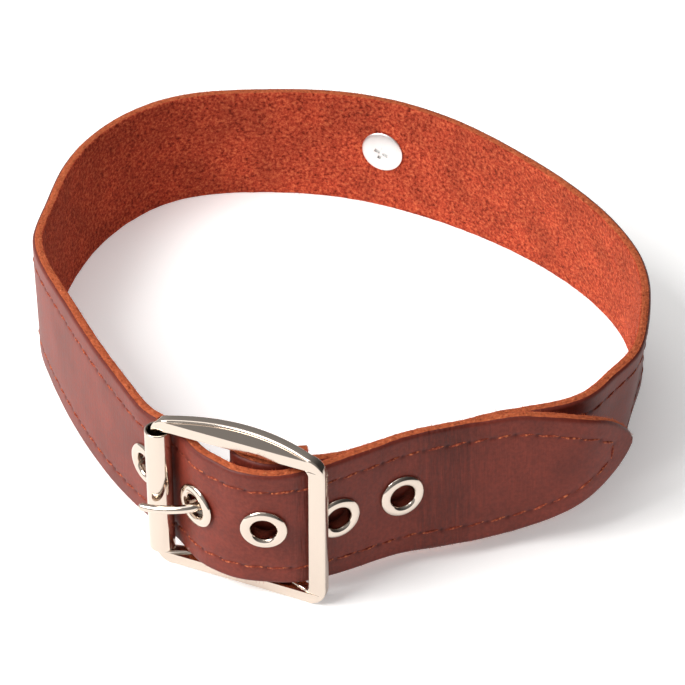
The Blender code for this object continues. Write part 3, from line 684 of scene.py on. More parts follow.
def grain_leather(leather):
    """Full-grain leather, drum dyed: a smooth skin with fine pores that keeps a soft gloss.

    The colour is darker at the needle holes, as painted shade in their dents, and along the turned-down
    edges, partly darker dye and partly painted shade of their rounding. The skin creases across the strap
    where it bends round the buckle and past the free eyelets, and the colour is darkened in the creases as
    painted shade. Real pores are about 0.3 mm apart, and are drawn coarser so that they show.
    """
    made, tree, shader = new_material("full_grain_leather", IOR=1.5, Specular_IOR_Level=0.22)
    place = add(tree, "ShaderNodeTexCoord").outputs["Object"]
    flat = add(tree, "ShaderNodeUVMap", uv_map="strap").outputs["UV"]
    marks = add(tree, "ShaderNodeUVMap", uv_map="marks").outputs["UV"]
    shade, bent, _ = add(tree, "ShaderNodeSeparateXYZ", {0: marks}).outputs
    cloud = add(tree, "ShaderNodeTexNoise", {"Vector": place, "Scale": 1 / DYE_CLOUD, "Detail": 3.0})
    fine = add(tree, "ShaderNodeTexNoise", {"Vector": place, "Scale": 1 / GRAIN_WRINKLE, "Detail": 4.0})
    pores = add(
        tree,
        "ShaderNodeTexVoronoi",
        {"Vector": place, "Scale": 1 / leather.pore, "Randomness": 1.0},
        feature="SMOOTH_F1",
    ).outputs["Distance"]
    fine = fine.outputs["Fac"]
    long = (1 / CREASE_WIDTH, 1 / CREASE_LENGTH, 1)
    stretched = add(tree, "ShaderNodeMapping", {"Vector": flat, "Scale": long}).outputs[0]
    creases = add(tree, "ShaderNodeTexNoise", {"Vector": stretched, "Scale": 1.0, "Detail": 2.5})
    folds = {0: creases.outputs["Fac"], 1: bent}
    folds = add(tree, "ShaderNodeMath", folds, operation="MULTIPLY").outputs[0]
    dye = with_ramp(
        add(tree, "ShaderNodeValToRGB", {0: cloud.outputs["Fac"]}),
        (0.30, shaded(leather.grain, 0.78)),
        (0.52, tuple(leather.grain)),
        (0.75, shaded(leather.grain, 1.18)),
    )
    speckle = with_ramp(add(tree, "ShaderNodeValToRGB", {0: fine}), (0.35, 0.80), (0.65, 1.10))
    # Painted shade: the colour is darkened in the creases.
    crease_shade = with_ramp(add(tree, "ShaderNodeValToRGB", {0: folds}), (0.30, 1.0), (0.55, 0.72))
    multiply = {"data_type": "RGBA", "blend_type": "MULTIPLY"}
    dye = add(tree, "ShaderNodeMix", {0: 1.0, 6: dye, 7: speckle}, **multiply).outputs[2]
    # The shade mark darkens the colour at the needle holes, as painted shade in their dents, and along the
    # edges, partly darker dye and partly painted shade.
    dark = (*leather.grain_dye_and_shade, 1)
    dye = add(tree, "ShaderNodeMix", {0: shade, 6: dye, 7: dark}, data_type="RGBA").outputs[2]
    dye = add(tree, "ShaderNodeMix", {0: 1.0, 6: dye, 7: crease_shade}, **multiply).outputs[2]
    tree.links.new(dye, shader.inputs["Base Color"])
    rough = add(tree, "ShaderNodeMapRange", {0: fine, 3: 0.38, 4: 0.56})
    tree.links.new(rough.outputs[0], shader.inputs["Roughness"])
    relief = ((pores, 0.22, 0.10 * MM), (fine, 0.35, 0.08 * MM), (folds, 0.9, 0.45 * MM))
    raise_relief(tree, shader, relief)
    return made


def raise_relief(tree, shader, layers):
    """Gives the shader one bump on another, each with its height socket, strength and depth."""
    below = {}
    for height, strength, depth in layers:
        sockets = {"Height": height, "Strength": strength, "Distance": depth, **below}
        below = {"Normal": add(tree, "ShaderNodeBump", sockets).outputs[0]}
    tree.links.new(below["Normal"], shader.inputs["Normal"])


def suede(leather):
    """The flesh side of split leather: a short brushed nap that is matt and mottled, with painted shade
    in its hollows and painted highlight on its tips.

    The fibres themselves are too fine to show, so the nap is drawn in tufts.
    """
    made, tree, shader = new_material(
        "suede_nap",
        Roughness=0.95,
        Sheen_Weight=0.2,
        Sheen_Roughness=0.6,
        Sheen_Tint=(*linear("E08A60"), 1),
        Specular_IOR_Level=0.15,
    )
    place = add(tree, "ShaderNodeTexCoord").outputs["Object"]
    broad = add(tree, "ShaderNodeTexNoise", {"Vector": place, "Scale": 1 / BRUSH_MARK, "Detail": 2.0})
    nap = {"Vector": place, "Scale": 1 / leather.nap, "Detail": 6.0, "Roughness": 0.68}
    tuft = add(tree, "ShaderNodeTexNoise", nap).outputs["Fac"]
    fine = add(tree, "ShaderNodeTexNoise", {"Vector": place, "Scale": 1 / FINE_NAP, "Detail": 3.0})
    fine = fine.outputs["Fac"]
    # Mottled tone, darker in the nap's hollows as painted shade and lighter on its tips as painted
    # highlight.
    mottle = with_ramp(
        add(tree, "ShaderNodeValToRGB", {0: tuft}),
        (0.34, tuple(leather.suede_mottle_and_shade)),
        (0.50, tuple(leather.suede)),
        (0.68, tuple(leather.suede_mottle_and_highlight)),
    )
    shade = with_ramp(add(tree, "ShaderNodeValToRGB", {0: broad.outputs["Fac"]}), (0.3, 0.82), (0.7, 1.12))
    mixed = {0: 1.0, 6: mottle, 7: shade}
    base = add(tree, "ShaderNodeMix", mixed, data_type="RGBA", blend_type="MULTIPLY")
    tree.links.new(base.outputs[2], shader.inputs["Base Color"])
    raise_relief(tree, shader, ((tuft, 0.9, 0.6 * MM), (fine, 0.6, 0.2 * MM)))
    return made


def raw_leather(leather):
    """The cut edge: fibres that the dye only partly reached, lying in rough layers along the strap."""
    made, tree, shader = new_material("raw_cut_edge", Roughness=0.9, Specular_IOR_Level=0.2)
    place = add(tree, "ShaderNodeTexCoord").outputs["Object"]
    flat, depth = [
        add(tree, "ShaderNodeSeparateXYZ", {0: add(tree, "ShaderNodeUVMap", uv_map=name).outputs["UV"]})
        for name in ("strap", "depth")
    ]
    layers = add(tree, "ShaderNodeCombineXYZ", {0: flat.outputs[0], 1: depth.outputs[0]}).outputs[0]
    long = (1 / LAYER_LENGTH, 1 / LAYER_DEPTH, 1)
    laid = add(tree, "ShaderNodeMapping", {"Vector": layers, "Scale": long}).outputs[0]
    rough = {"Vector": laid, "Scale": 1.0, "Detail": 5.0, "Roughness": 0.7}
    streaks = add(tree, "ShaderNodeTexNoise", rough).outputs["Fac"]
    clumps = add(tree, "ShaderNodeTexNoise", {"Vector": place, "Scale": 1 / FIBRE_CLUMP, "Detail": 5.0})
    both = {0: streaks, 1: clumps.outputs["Fac"]}
    both = add(tree, "ShaderNodeMath", both, operation="ADD").outputs[0]
    mean = add(tree, "ShaderNodeMath", {0: both, 1: 0.5}, operation="MULTIPLY").outputs[0]
    tone = with_ramp(
        add(tree, "ShaderNodeValToRGB", {0: mean}),
        (0.32, linear("6A2216")),
        (0.46, shaded(leather.raw_edge, 0.85)),
        (0.56, tuple(leather.raw_edge)),
        (0.72, linear("E49A68")),
    )
    tree.links.new(tone, shader.inputs["Base Color"])
    raise_relief(tree, shader, ((both, 1.0, 0.5 * MM),))
    return made


def thread_material(stitches):
    """Two-ply sewing thread, spun: matt, with fluff rubbed up on it, drawn coarser than it is to show."""
    made, tree, shader = new_material("spun_thread", Roughness=0.85, Specular_IOR_Level=0.25)
    place = add(tree, "ShaderNodeTexCoord").outputs["Object"]
    fluff = add(tree, "ShaderNodeTexNoise", {"Vector": place, "Scale": 1 / THREAD_FLUFF, "Detail": 4.0})
    tone = with_ramp(
        add(tree, "ShaderNodeValToRGB", {0: fluff.outputs["Fac"]}),
        (0.38, shaded(stitches.thread, 0.55)),
        (0.52, tuple(stitches.thread)),
        (0.66, tuple(stitches.thread_light)),
    )
    tree.links.new(tone, shader.inputs["Base Color"])
    raise_relief(tree, shader, ((fluff.outputs["Fac"], 0.8, 0.25 * MM),))
    return made


def plated_metal(name, tone, smoothest, roughest, ripple):
    """Nickel or zinc plate on cast or turned metal: a mirror, hazy in places, with a faint ripple."""
    made, tree, shader = new_material(name, Metallic=1.0, Base_Color=(*tone, 1))
    place = add(tree, "ShaderNodeTexCoord").outputs["Object"]
    haze = add(tree, "ShaderNodeTexNoise", {"Vector": place, "Scale": 1 / PLATE_HAZE, "Detail": 5.0})
    span = {0: haze.outputs["Fac"], 1: 0.3, 2: 0.7, 3: smoothest, 4: roughest}
    rough = add(tree, "ShaderNodeMapRange", span)
    tree.links.new(rough.outputs[0], shader.inputs["Roughness"])
    peel = add(tree, "ShaderNodeTexNoise", {"Vector": place, "Scale": 1 / ripple, "Detail": 2.0})
    raise_relief(tree, shader, ((peel.outputs["Fac"], 0.25, 0.02 * MM),))
    return made


def material(name):
    """The material of that name, made when a piece first needs it."""
    scene = bpy.context.scene
    leather, stitches, metal = scene.collar_leather, scene.collar_stitches, scene.collar_metal
    recipes = {
        "full_grain_leather": lambda: grain_leather(leather),
        "suede_nap": lambda: suede(leather),
        "raw_cut_edge": lambda: raw_leather(leather),
        "spun_thread": lambda: thread_material(stitches),
        "polished_nickel": lambda: plated_metal(
            name, metal.nickel, metal.polish * 0.8, metal.polish * 1.6, NICKEL_RIPPLE
        ),
        "zinc_plated_steel": lambda: plated_metal(name, metal.steel, 0.32, 0.45, ZINC_RIPPLE),
    }
    return bpy.data.materials.get(name) or recipes[name]()


# The strap


def stations():
    """Lengths at which the leather has a row of points, closer together round the pointed end."""
    tip = TIP_TAPER / 3 * (np.arange(15) / 15) ** 1.6
    count = int((ROUTE.length - tip[-1]) / STATION_STEP)
    return np.concatenate([tip[:-1], np.linspace(tip[-1], ROUTE.length, count)])


def outline(along):
    """Outward directions, in the flat leather, of its upper edge at the stations.

    They are square to the edge, but near the pointed end they meet on the strap's middle line no closer
    to the end than TIP_CENTRE, so that rows inset along them never cross.
    """
    wide = half_width(along)
    climb = np.gradient(wide, along)
    ahead = np.maximum(wide * climb, TIP_CENTRE * np.exp(-along / TIP_CENTRE))
    size = np.hypot(ahead, wide)
    return np.stack([-ahead / size, wide / size], 1)


def stitch_holes(stitches):
    """Needle holes in the flat leather as (along, across) rows, from one edge round the tip to the other."""
    along = stations()
    normal = outline(along)
    places = np.column_stack([along, half_width(along)]) - normal * stitches.inset
    places = places[places[:, 1] > 0.35 * MM]
    places = places[places[:, 0] < ROUTE.length - 4 * MM]
    line = np.concatenate([places[::-1], places * (1, -1)])
    ahead = np.concatenate([[0.0], np.cumsum(np.linalg.norm(np.diff(line, axis=0), axis=1))])
    apex = ahead[len(places)]
    count = int(apex / stitches.pitch)
    at = apex + stitches.pitch * (np.arange(-count, count) + 0.5)
    at = at[(at > 0) & (at < ahead[-1])]
    return np.column_stack([np.interp(at, ahead, column) for column in line.T])


def wavy(rows, size, seed):
    """Smooth noise from -1 to 1 at rows of places, with features of that size."""
    offset = Vector((seed * 17.3, seed * 5.1, seed * 9.7))
    return np.array([noise.noise(Vector(row) / size + offset) for row in rows])


def nearest(points, targets):
    """Distance from each point to the nearest target, both flat rows."""
    found = np.full(len(points), 1.0)
    for start in range(0, len(points), 4000):
        part = points[start : start + 4000]
        near = targets[np.abs(targets[:, 0] - part[:, 0].mean()) < np.ptp(part[:, 0]) / 2 + 8 * MM]
        if len(near):
            gaps = np.linalg.norm(part[:, None] - near[None], axis=2)
            found[start : start + 4000] = gaps.min(axis=1)
    return found


def press_under(points, place, outer, inner):
    """Flattens the leather under a metal piece's two flanges, with a soft shoulder round them."""
    turn = np.array(place.to_3x3())
    local = (points - np.array(place.translation)) @ turn
    reach = np.linalg.norm(local[:, :2], axis=1)
    for side, radius in ((1, outer), (-1, inner)):
        height = local[:, 2] * side
        level = LEATHER / 2 - 0.06 * MM
        near = np.clip((radius + 2.2 * MM - reach) / (1.8 * MM), 0, 1)
        push = np.where(height > 0, np.maximum(height - level, 0) * near**2 * (3 - 2 * near), 0)
        local[:, 2] -= push * side
    return local @ turn.T + np.array(place.translation)


def bell(distance, width):
    """1 at no distance, and smoothly down to nothing beyond the width."""
    return np.exp(-((distance / width) ** 2))


def crease_strength(along):
    """How strongly the grain is creased across the strap: past the free eyelets and over the fold."""
    free, crest = ROUTE.eyelets[0], ROUTE.eyelets[2]
    zones = (
        # middle, spread, strength
        (free - 11 * MM, 8 * MM, 1.0),
        (crest - 10.5 * MM, 4.5 * MM, 0.9),
        (free + 9 * MM, 10 * MM, 0.35),
        (TIP_TAPER, 30 * MM, 0.22),
    )
    return sum(strength * bell(along - middle, spread) for middle, spread, strength in zones) + 0.10


def edge_rows():
    """(inset from the edge, depth, zone) for each row of points from the grain round to the suede."""
    half = LEATHER / 2
    rows = []
    for angle in np.radians((78, 58, 38, 18)):
        drop = half - GRAIN_CORNER * (1 - math.sin(angle))
        rows.append((GRAIN_CORNER * (1 - math.cos(angle)), drop, GRAIN))
    raw_top, raw_low = half - GRAIN_CORNER, -half + SUEDE_CORNER
    for share in (0.0, 0.25, 0.5, 0.75, 1.0):
        bulge = -RAW_BULGE * math.sin(math.pi * share)
        rows.append((bulge, raw_top + share * (raw_low - raw_top), RAW_EDGE))
    for angle in np.radians((30, 65)):
        drop = -half + SUEDE_CORNER * (1 - math.sin(angle))
        rows.append((SUEDE_CORNER * (1 - math.cos(angle)), drop, SUEDE))
    return rows


class FlatGrid:
    """Points of the leather in flat measures, and the faces between them with their zones."""

    def __init__(self):
        self.flat, self.through, self.faces, self.zones = [], [], [], []
        self.count = 0

    def add_row(self, places, depth):
        """Numbers of the points of a new row."""
        start = self.count
        self.count += len(places)
        self.flat.append(places)
        self.through.append(np.full(len(places), depth))
        return start + np.arange(len(places))

    def join(self, first, second, zone, flipped=False):
        """Makes faces between two rows of points."""
        ring = np.stack([first[:-1], first[1:], second[1:], second[:-1]], 1)
        self.faces += (ring[:, ::-1] if flipped else ring).tolist()
        self.zones += [zone] * len(ring)

    def close(self, corners, zone):
        """Makes one face of the corners."""
        self.faces.append([int(corner) for corner in dict.fromkeys(corners)])
        self.zones.append(zone)


def strap_grid():
    """The grid of the whole strap.

    The face and the back are columns of points between EDGE_DEPTH in from the outline, and the edge is a
    band of rows that runs along the upper edge, round the pointed end and back along the lower one.
    """
    grid = FlatGrid()
    along = stations()
    outward = outline(along)
    top = np.column_stack([along, half_width(along)])
    upper = top - outward * EDGE_DEPTH
    shares = 1 - (np.array(COLUMN_INSETS) * MM - EDGE_DEPTH) / (STRAP_WIDTH / 2 - EDGE_DEPTH)
    shares = np.concatenate([[1.0], shares, [0.0], -shares[::-1], [-1.0]])
    face, back = [
        [grid.add_row(upper * (1, share), depth) for share in shares]
        for depth in (LEATHER / 2, -LEATHER / 2)
    ]
    sheets = ((face, GRAIN, False), (back, SUEDE, True))
    for columns, zone, flipped in sheets:
        for first, second in zip(columns, columns[1:]):
            grid.join(first, second, zone, flipped)

    mirror = np.array([1, -1])
    line = np.concatenate([top[::-1], top * mirror])
    outward = np.concatenate([outward[::-1], outward * mirror])
    bands = [np.concatenate([face[0][::-1], face[-1]])]
    zones = []
    for inset, depth, zone in edge_rows():
        bands.append(grid.add_row(line - outward * inset, depth))
        zones.append(zone)
    bands.append(np.concatenate([back[0][::-1], back[-1]]))
    for first, second, zone in zip(bands, bands[1:], zones + [SUEDE]):
        grid.join(first, second, zone)

    face_end, back_end = [np.array([column[-1] for column in columns]) for columns in (face, back)]
    grid.join(face_end, back_end, RAW_EDGE, flipped=True)
    for columns, zone, flipped in sheets:
        tip = [column[0] for column in columns]
        for i in range(len(tip) // 2):
            corners = [tip[i], tip[i + 1], tip[-i - 2], tip[-i - 1]]
            grid.close(corners[::-1] if flipped else corners, zone)
    for end in (0, -1):
        grid.close([band[end] for band in bands], RAW_EDGE)
    return grid


def fray_edges(flat, through, rows, inset):
    """Flat measures with the cut edge made uneven, and the turned grain corner a little so."""
    ripple = wavy(rows, 1.3 * MM, 1) * 0.10 * MM + wavy(rows, 4.5 * MM, 2) * 0.16 * MM
    ripple *= np.where(through < LEATHER / 2 - GRAIN_CORNER * 0.6, 1.0, 0.25)
    ripple *= np.clip(1 - inset / FRAY_REACH, 0, 1)
    moved = flat.copy()
    moved[:, 1] += np.sign(flat[:, 1]) * ripple
    moved[:, 0] += np.where(flat[:, 0] < 2 * MM, -ripple, 0)
    return moved


def on_grain(through):
    return through > LEATHER / 2 - GRAIN_CORNER


def skin_depth(through, rows, off_row, off_hole):
    """Depth in the leather, with the stitches' furrow and needle dents, soft swells, and the nap."""
    dent = FURROW * bell(off_row, 0.75 * MM) + NEEDLE_DENT * bell(off_hole, 0.5 * MM)
    pucker = 0.05 * MM * bell(off_row - 1.6 * MM, 1.2 * MM) * wavy(rows, 3.0 * MM, 3)
    swell = 0.07 * MM * wavy(rows, 9 * MM, 4)
    nap = 0.06 * MM * np.abs(wavy(rows, 2.0 * MM, 5))
    on_suede = through < -LEATHER / 2 + SUEDE_CORNER
    return through + np.where(on_grain(through), pucker + swell - dent, 0) - np.where(on_suede, nap, 0)


def press_seats(flat, points):
    """Presses the leather flat under the eyelets and the stud."""
    seats = [(at, EYELET_RISE, EYELET_RADIUS, CLINCH_RADIUS) for at in ROUTE.eyelets]
    seats.append((ROUTE.stud, SCREW_RISE, POST_HEAD_RADIUS, SCREW_HEAD_RADIUS))
    for at, rise, outer, inner in seats:
        near = np.abs(flat[:, 0] - at) < 2 * outer
        points[near] = press_under(points[near], ROUTE.place(at, rise), outer, inner)
    return points


def add_maps(mesh, **maps):
    """Gives the mesh UV maps by name, from two values for each of its points."""
    corners = np.zeros(len(mesh.loops), np.int32)
    mesh.loops.foreach_get("vertex_index", corners)
    for name, values in maps.items():
        layer = mesh.uv_layers.new(name=name)
        layer.data.foreach_set("uv", values[corners].astype(np.float32).ravel())


def cut_holes(strap):
    """The strap with the holes of the eyelets and the stud, and the prong's slot in its fold."""
    through = (-LEATHER / 2 - GAP, LEATHER)
    hole = EYELET_HOLE_RADIUS + EYELET_WALL + GAP
    tools = [cylinder("hole", hole, *through, ROUTE.place(at, EYELET_RISE)) for at in ROUTE.eyelets]
    stud_hole = SCREW_SHANK_RADIUS + GAP + POST_WALL + GAP
    tools.append(cylinder("hole", stud_hole, *through, ROUTE.place(ROUTE.stud, SCREW_RISE)))
    bar = Matrix.Translation((*(buckle_point(CENTRE_BAR_SHIFT, -RAIL_BOW) + SHIFT), MID_HEIGHT))
    slot = FOLD_RADIUS + LEATHER / 2 + 2 * GAP
    tools.append(cylinder("slot", slot, -SLOT_HEIGHT / 2, SLOT_HEIGHT / 2, bar))
    return cut(strap, tools)


def make_strap():
    """The leather strap: dense skin with rounded edges, stitch furrows, pressed seats and real holes."""
    grid = strap_grid()
    flat, through = np.concatenate(grid.flat), np.concatenate(grid.through)
    holes = stitch_holes(bpy.context.scene.collar_stitches)
    line = np.concatenate([np.linspace(a, b, 8)[:-1] for a, b in zip(holes, holes[1:])])
    off_row, off_hole = nearest(flat, line), nearest(flat, holes)
    inset = half_width(flat[:, 0]) - np.abs(flat[:, 1])
    rows = np.column_stack([flat, through])
    moved = fray_edges(flat, through, rows, inset)
    depth = skin_depth(through, rows, off_row, off_hole)
    points = press_seats(flat, ROUTE.points(moved[:, 0], moved[:, 1], depth))

    mesh = bpy.data.meshes.new("strap_leather")
    mesh.from_pydata(points.tolist(), [], grid.faces)
    mesh.polygons.foreach_set("material_index", np.array(grid.zones, np.int32))
    # The crease strength also darkens the grain's colour in the creases, as painted shade.
    bent = crease_strength(flat[:, 0]) * on_grain(through)
    # Painted shade: the grain is darkened along its rounded edges, partly as darker dye, and round the
    # needle holes, as shade in their dents.
    edge_dye_and_shade = 0.42 * np.clip(1 - inset / (1.6 * MM), 0, 1)
    shade = np.maximum(bell(off_hole, 0.55 * MM), edge_dye_and_shade) * on_grain(through)
    depths, marks = np.column_stack([through, inset]), np.column_stack([shade, bent])
    add_maps(mesh, strap=flat, depth=depths, marks=marks)
    weld(mesh)
    surfaces = [material(name) for name in ("full_grain_leather", "raw_cut_edge", "suede_nap")]
    strap = cut_holes(make_object("strap_leather", mesh, *surfaces))
    smooth(strap.data, 60)
    return finish_piece(strap, "collar", ["strap"])


# Stitches and fibres


def node_group(name, *sockets):
    """A geometry node group with a geometry input and output and the named inputs given."""
    tree = bpy.data.node_groups.new(name, "GeometryNodeTree")
    tree.interface.new_socket("Geometry", in_out="INPUT", socket_type="NodeSocketGeometry")
    tree.interface.new_socket("Geometry", in_out="OUTPUT", socket_type="NodeSocketGeometry")
    for label, kind in sockets:
        tree.interface.new_socket(label, in_out="INPUT", socket_type=kind)
    return tree, add(tree, "NodeGroupInput").outputs


def run_group(name, mesh, tree, **values):
    """A plain mesh object made by the node group from the mesh, with its inputs set by identifier."""
    holder = make_object(name + "_source", mesh)
    modifier = holder.modifiers.new("Nodes", "NODES")
    modifier.node_group = tree
    for item in tree.interface.items_tree:
        if item.in_out == "INPUT" and item.name.lower() in values:
            modifier[item.identifier] = values[item.name.lower()]
    return applied(name, holder)


def end_group(tree, instances, surface):
    """Realises the instances, smooths them and gives them the material."""
    real = add(tree, "GeometryNodeRealizeInstances", {0: instances}).outputs[0]
    soft = add(tree, "GeometryNodeSetShadeSmooth", {0: real}).outputs[0]
    done = add(tree, "GeometryNodeSetMaterial", {"Geometry": soft, "Material": surface}).outputs[0]
    add(tree, "NodeGroupOutput", {0: done})


def stitch_group():
    """A bent thread on each point, run along its attribute run and standing out along its attribute out."""
    tree, given = node_group(
        "stitches_in_a_row",
        ("Length", "NodeSocketFloat"),
        ("Thickness", "NodeSocketFloat"),
        ("Lift", "NodeSocketFloat"),
        ("Slant", "NodeSocketFloat"),
        ("Seed", "NodeSocketInt"),
        ("Surface", "NodeSocketMaterial"),
    )
    run, out = [
        add(tree, "GeometryNodeInputNamedAttribute", {"Name": name}, data_type="FLOAT_VECTOR").outputs[0]
        for name in ("run", "out")
    ]
    turn = add(tree, "FunctionNodeAlignRotationToVector", {"Vector": run}, axis="X").outputs[0]
    upright = {"Rotation": turn, "Vector": out}
    turn = add(tree, "FunctionNodeAlignRotationToVector", upright, axis="Z", pivot_axis="X").outputs[0]
    sway = {2: -STITCH_SWAY, 3: STITCH_SWAY, "Seed": given["Seed"]}
    sway = add(tree, "FunctionNodeRandomValue", sway, data_type="FLOAT").outputs[1]
    spin = add(tree, "ShaderNodeMath", {0: given["Slant"], 1: sway}, operation="ADD").outputs[0]
    euler = add(tree, "ShaderNodeCombineXYZ", {2: spin}).outputs[0]
    slant = add(tree, "FunctionNodeEulerToRotation", {0: euler}).outputs[0]
    turn = add(tree, "FunctionNodeRotateRotation", {0: turn, 1: slant}, rotation_space="LOCAL").outputs[0]
    size = {0: SMALLEST_STITCH, 1: LARGEST_STITCH, "Seed": given["Seed"]}
    size = add(tree, "FunctionNodeRandomValue", size, data_type="FLOAT_VECTOR").outputs[0]
    half = add(tree, "ShaderNodeMath", {0: given["Length"], 1: 0.5}, operation="MULTIPLY").outputs[0]
    back = add(tree, "ShaderNodeMath", {0: half, 1: -1.0}, operation="MULTIPLY").outputs[0]
    dip = add(tree, "ShaderNodeMath", {0: given["Thickness"], 1: -0.9}, operation="MULTIPLY").outputs[0]
    line = add(
        tree,
        "GeometryNodeCurveQuadraticBezier",
        {
            "Resolution": 12,
            "Start": add(tree, "ShaderNodeCombineXYZ", {0: back, 2: dip}).outputs[0],
            "Middle": add(tree, "ShaderNodeCombineXYZ", {2: given["Lift"]}).outputs[0],
            "End": add(tree, "ShaderNodeCombineXYZ", {0: half, 2: dip}).outputs[0],
        },
    ).outputs[0]
    thin = add(tree, "ShaderNodeMath", {0: given["Thickness"], 1: 0.5}, operation="MULTIPLY").outputs[0]
    ring = {"Resolution": 8, "Radius": thin}
    ring = add(tree, "GeometryNodeCurvePrimitiveCircle", ring, mode="RADIUS").outputs[0]
    tube = {"Curve": line, "Profile Curve": ring, "Fill Caps": True}
    tube = add(tree, "GeometryNodeCurveToMesh", tube).outputs[0]
    placed = {"Points": given["Geometry"], "Instance": tube, "Rotation": turn, "Scale": size}
    placed = add(tree, "GeometryNodeInstanceOnPoints", placed).outputs[0]
    end_group(tree, placed, given["Surface"])
    return tree


def stitch_points(stitches, side):
    """A mesh of a point for each stitch on one side of the leather, with its run and out directions."""
    holes = stitch_holes(stitches)
    depth = LEATHER / 2 - 0.08 * MM
    ends = ROUTE.points(holes[:, 0], holes[:, 1], np.full(len(holes), side * depth))
    run = np.diff(ends, axis=0)
    middle = (holes[1:] + holes[:-1]) / 2
    places = ROUTE.points(middle[:, 0], middle[:, 1], np.full(len(middle), side * depth))
    out = ROUTE.frames(middle[:, 0])[3] * side
    clear = np.ones(len(places), bool)
    for at in ROUTE.eyelets:
        spot = np.array(ROUTE.place(at, EYELET_RISE).translation)
        clear &= np.linalg.norm(places - spot, axis=1) > EYELET_RADIUS + 0.5 * MM
    mesh = bpy.data.meshes.new("stitch_points")
    mesh.from_pydata(places[clear].tolist(), [], [])
    for name, values in (("run", run[clear]), ("out", out[clear])):
        layer = mesh.attributes.new(name, "FLOAT_VECTOR", "POINT")
        layer.data.foreach_set("vector", values.astype(np.float32).ravel())
    return mesh


def make_stitches():
    """Rows of lockstitch on the grain side, and the sunk under-thread on the suede side."""
    stitches = bpy.context.scene.collar_stitches
    tree = stitch_group()
    sides = (
        # name, side, share of the pitch, lift as a share of the thickness
        ("stitches_outside", 1, 0.98, 0.85),
        ("stitches_inside", -1, 0.55, 0.35),
    )
    for name, side, share, lift in sides:
        made = run_group(
            name,
            stitch_points(stitches, side),
            tree,
            length=stitches.pitch * share,
            thickness=stitches.thickness * (1 if side > 0 else 0.8),
            lift=stitches.thickness * lift,
            slant=math.radians(7 * side),
            seed=3 + side,
            surface=material("spun_thread"),
        )
        finish_piece(made, "collar")


def fibre_group():
    """Short bent fibres scattered on the faces given, leaning at random."""
    tree, given = node_group(
        "loose_fibres",
        ("Density", "NodeSocketFloat"),
        ("Length", "NodeSocketFloat"),
        ("Radius", "NodeSocketFloat"),
        ("Lean", "NodeSocketFloat"),
        ("Seed", "NodeSocketInt"),
        ("Surface", "NodeSocketMaterial"),
    )
    spots = add(
        tree,
        "GeometryNodeDistributePointsOnFaces",
        {"Mesh": given["Geometry"], "Density": given["Density"], "Seed": given["Seed"]},
        distribute_method="RANDOM",
    )
    less = add(tree, "ShaderNodeMath", {0: given["Lean"], 1: -1.0}, operation="MULTIPLY").outputs[0]
    lean_x, lean_y, spin, size = [
        add(tree, "FunctionNodeRandomValue", {2: low, 3: high, "Seed": seed}, data_type="FLOAT").outputs[1]
        for low, high, seed in (
            (less, given["Lean"], 11),
            (less, given["Lean"], 12),
            (0.0, math.tau, 13),
            (0.45, 1.15, 14),
        )
    ]
    euler = add(tree, "ShaderNodeCombineXYZ", {0: lean_x, 1: lean_y, 2: spin}).outputs[0]
    tilt = add(tree, "FunctionNodeEulerToRotation", {0: euler}).outputs[0]
    turn = {0: spots.outputs["Rotation"], 1: tilt}
    turn = add(tree, "FunctionNodeRotateRotation", turn, rotation_space="LOCAL").outputs[0]
    side = add(tree, "ShaderNodeMath", {0: given["Length"], 1: 0.35}, operation="MULTIPLY").outputs[0]
    middle = add(tree, "ShaderNodeMath", {0: given["Length"], 1: 0.6}, operation="MULTIPLY").outputs[0]
    line = add(
        tree,
        "GeometryNodeCurveQuadraticBezier",
        {
            "Resolution": 3,
            "Start": (0, 0, -0.1 * MM),
            "Middle": add(tree, "ShaderNodeCombineXYZ", {2: middle}).outputs[0],
            "End": add(tree, "ShaderNodeCombineXYZ", {0: side, 2: given["Length"]}).outputs[0],
        },
    ).outputs[0]
    along = add(tree, "GeometryNodeSplineParameter").outputs["Factor"]
    taper = add(tree, "ShaderNodeMapRange", {0: along, 3: 1.0, 4: 0.35}).outputs[0]
    width = add(tree, "ShaderNodeMath", {0: given["Radius"], 1: taper}, operation="MULTIPLY").outputs[0]
    ring = {"Resolution": 3, "Radius": 1.0}
    ring = add(tree, "GeometryNodeCurvePrimitiveCircle", ring, mode="RADIUS").outputs[0]
    tube = {"Curve": line, "Profile Curve": ring, "Scale": width, "Fill Caps": True}
    tube = add(tree, "GeometryNodeCurveToMesh", tube).outputs[0]
    placed = {"Points": spots.outputs["Points"], "Instance": tube, "Rotation": turn, "Scale": size}
    placed = add(tree, "GeometryNodeInstanceOnPoints", placed).outputs[0]
    end_group(tree, placed, given["Surface"])
    return tree


def zone_mesh(name, zone):
    """A copy of the strap's faces of one zone, as ground for fibres."""
    mesh = bpy.data.objects["strap_leather"].data.copy()
    mesh.name = name
    drawing = bmesh.new()
    drawing.from_mesh(mesh)
    others = [face for face in drawing.faces if face.material_index != zone]
    bmesh.ops.delete(drawing, geom=others, context="FACES")
    drawing.to_mesh(mesh)
    drawing.free()
    return mesh


def make_fibres():
    """Loose fibres: standing up along the cut edges, and brushed flat over the suede."""
    leather = bpy.context.scene.collar_leather
    tree = fibre_group()
    rows = (
        # name, zone, fibres a square metre, share of the length, radius in mm, lean in degrees, surface
        ("edge_fibres", RAW_EDGE, 2.6e6, 1.0, 0.050, 62, "raw_cut_edge"),
        ("suede_fibres", SUEDE, 0.34e6, 1.3, 0.055, 80, "suede_nap"),
    )
    for seed, (name, zone, density, share, radius, lean, surface) in enumerate(rows, 5):
        made = run_group(
            name,
            zone_mesh(name, zone),
            tree,
            density=density,
            length=leather.fibre_length * share,
            radius=radius * MM,
            lean=math.radians(lean),
            seed=seed,
            surface=material(surface),
        )
        finish_piece(made, "collar")


# Metal


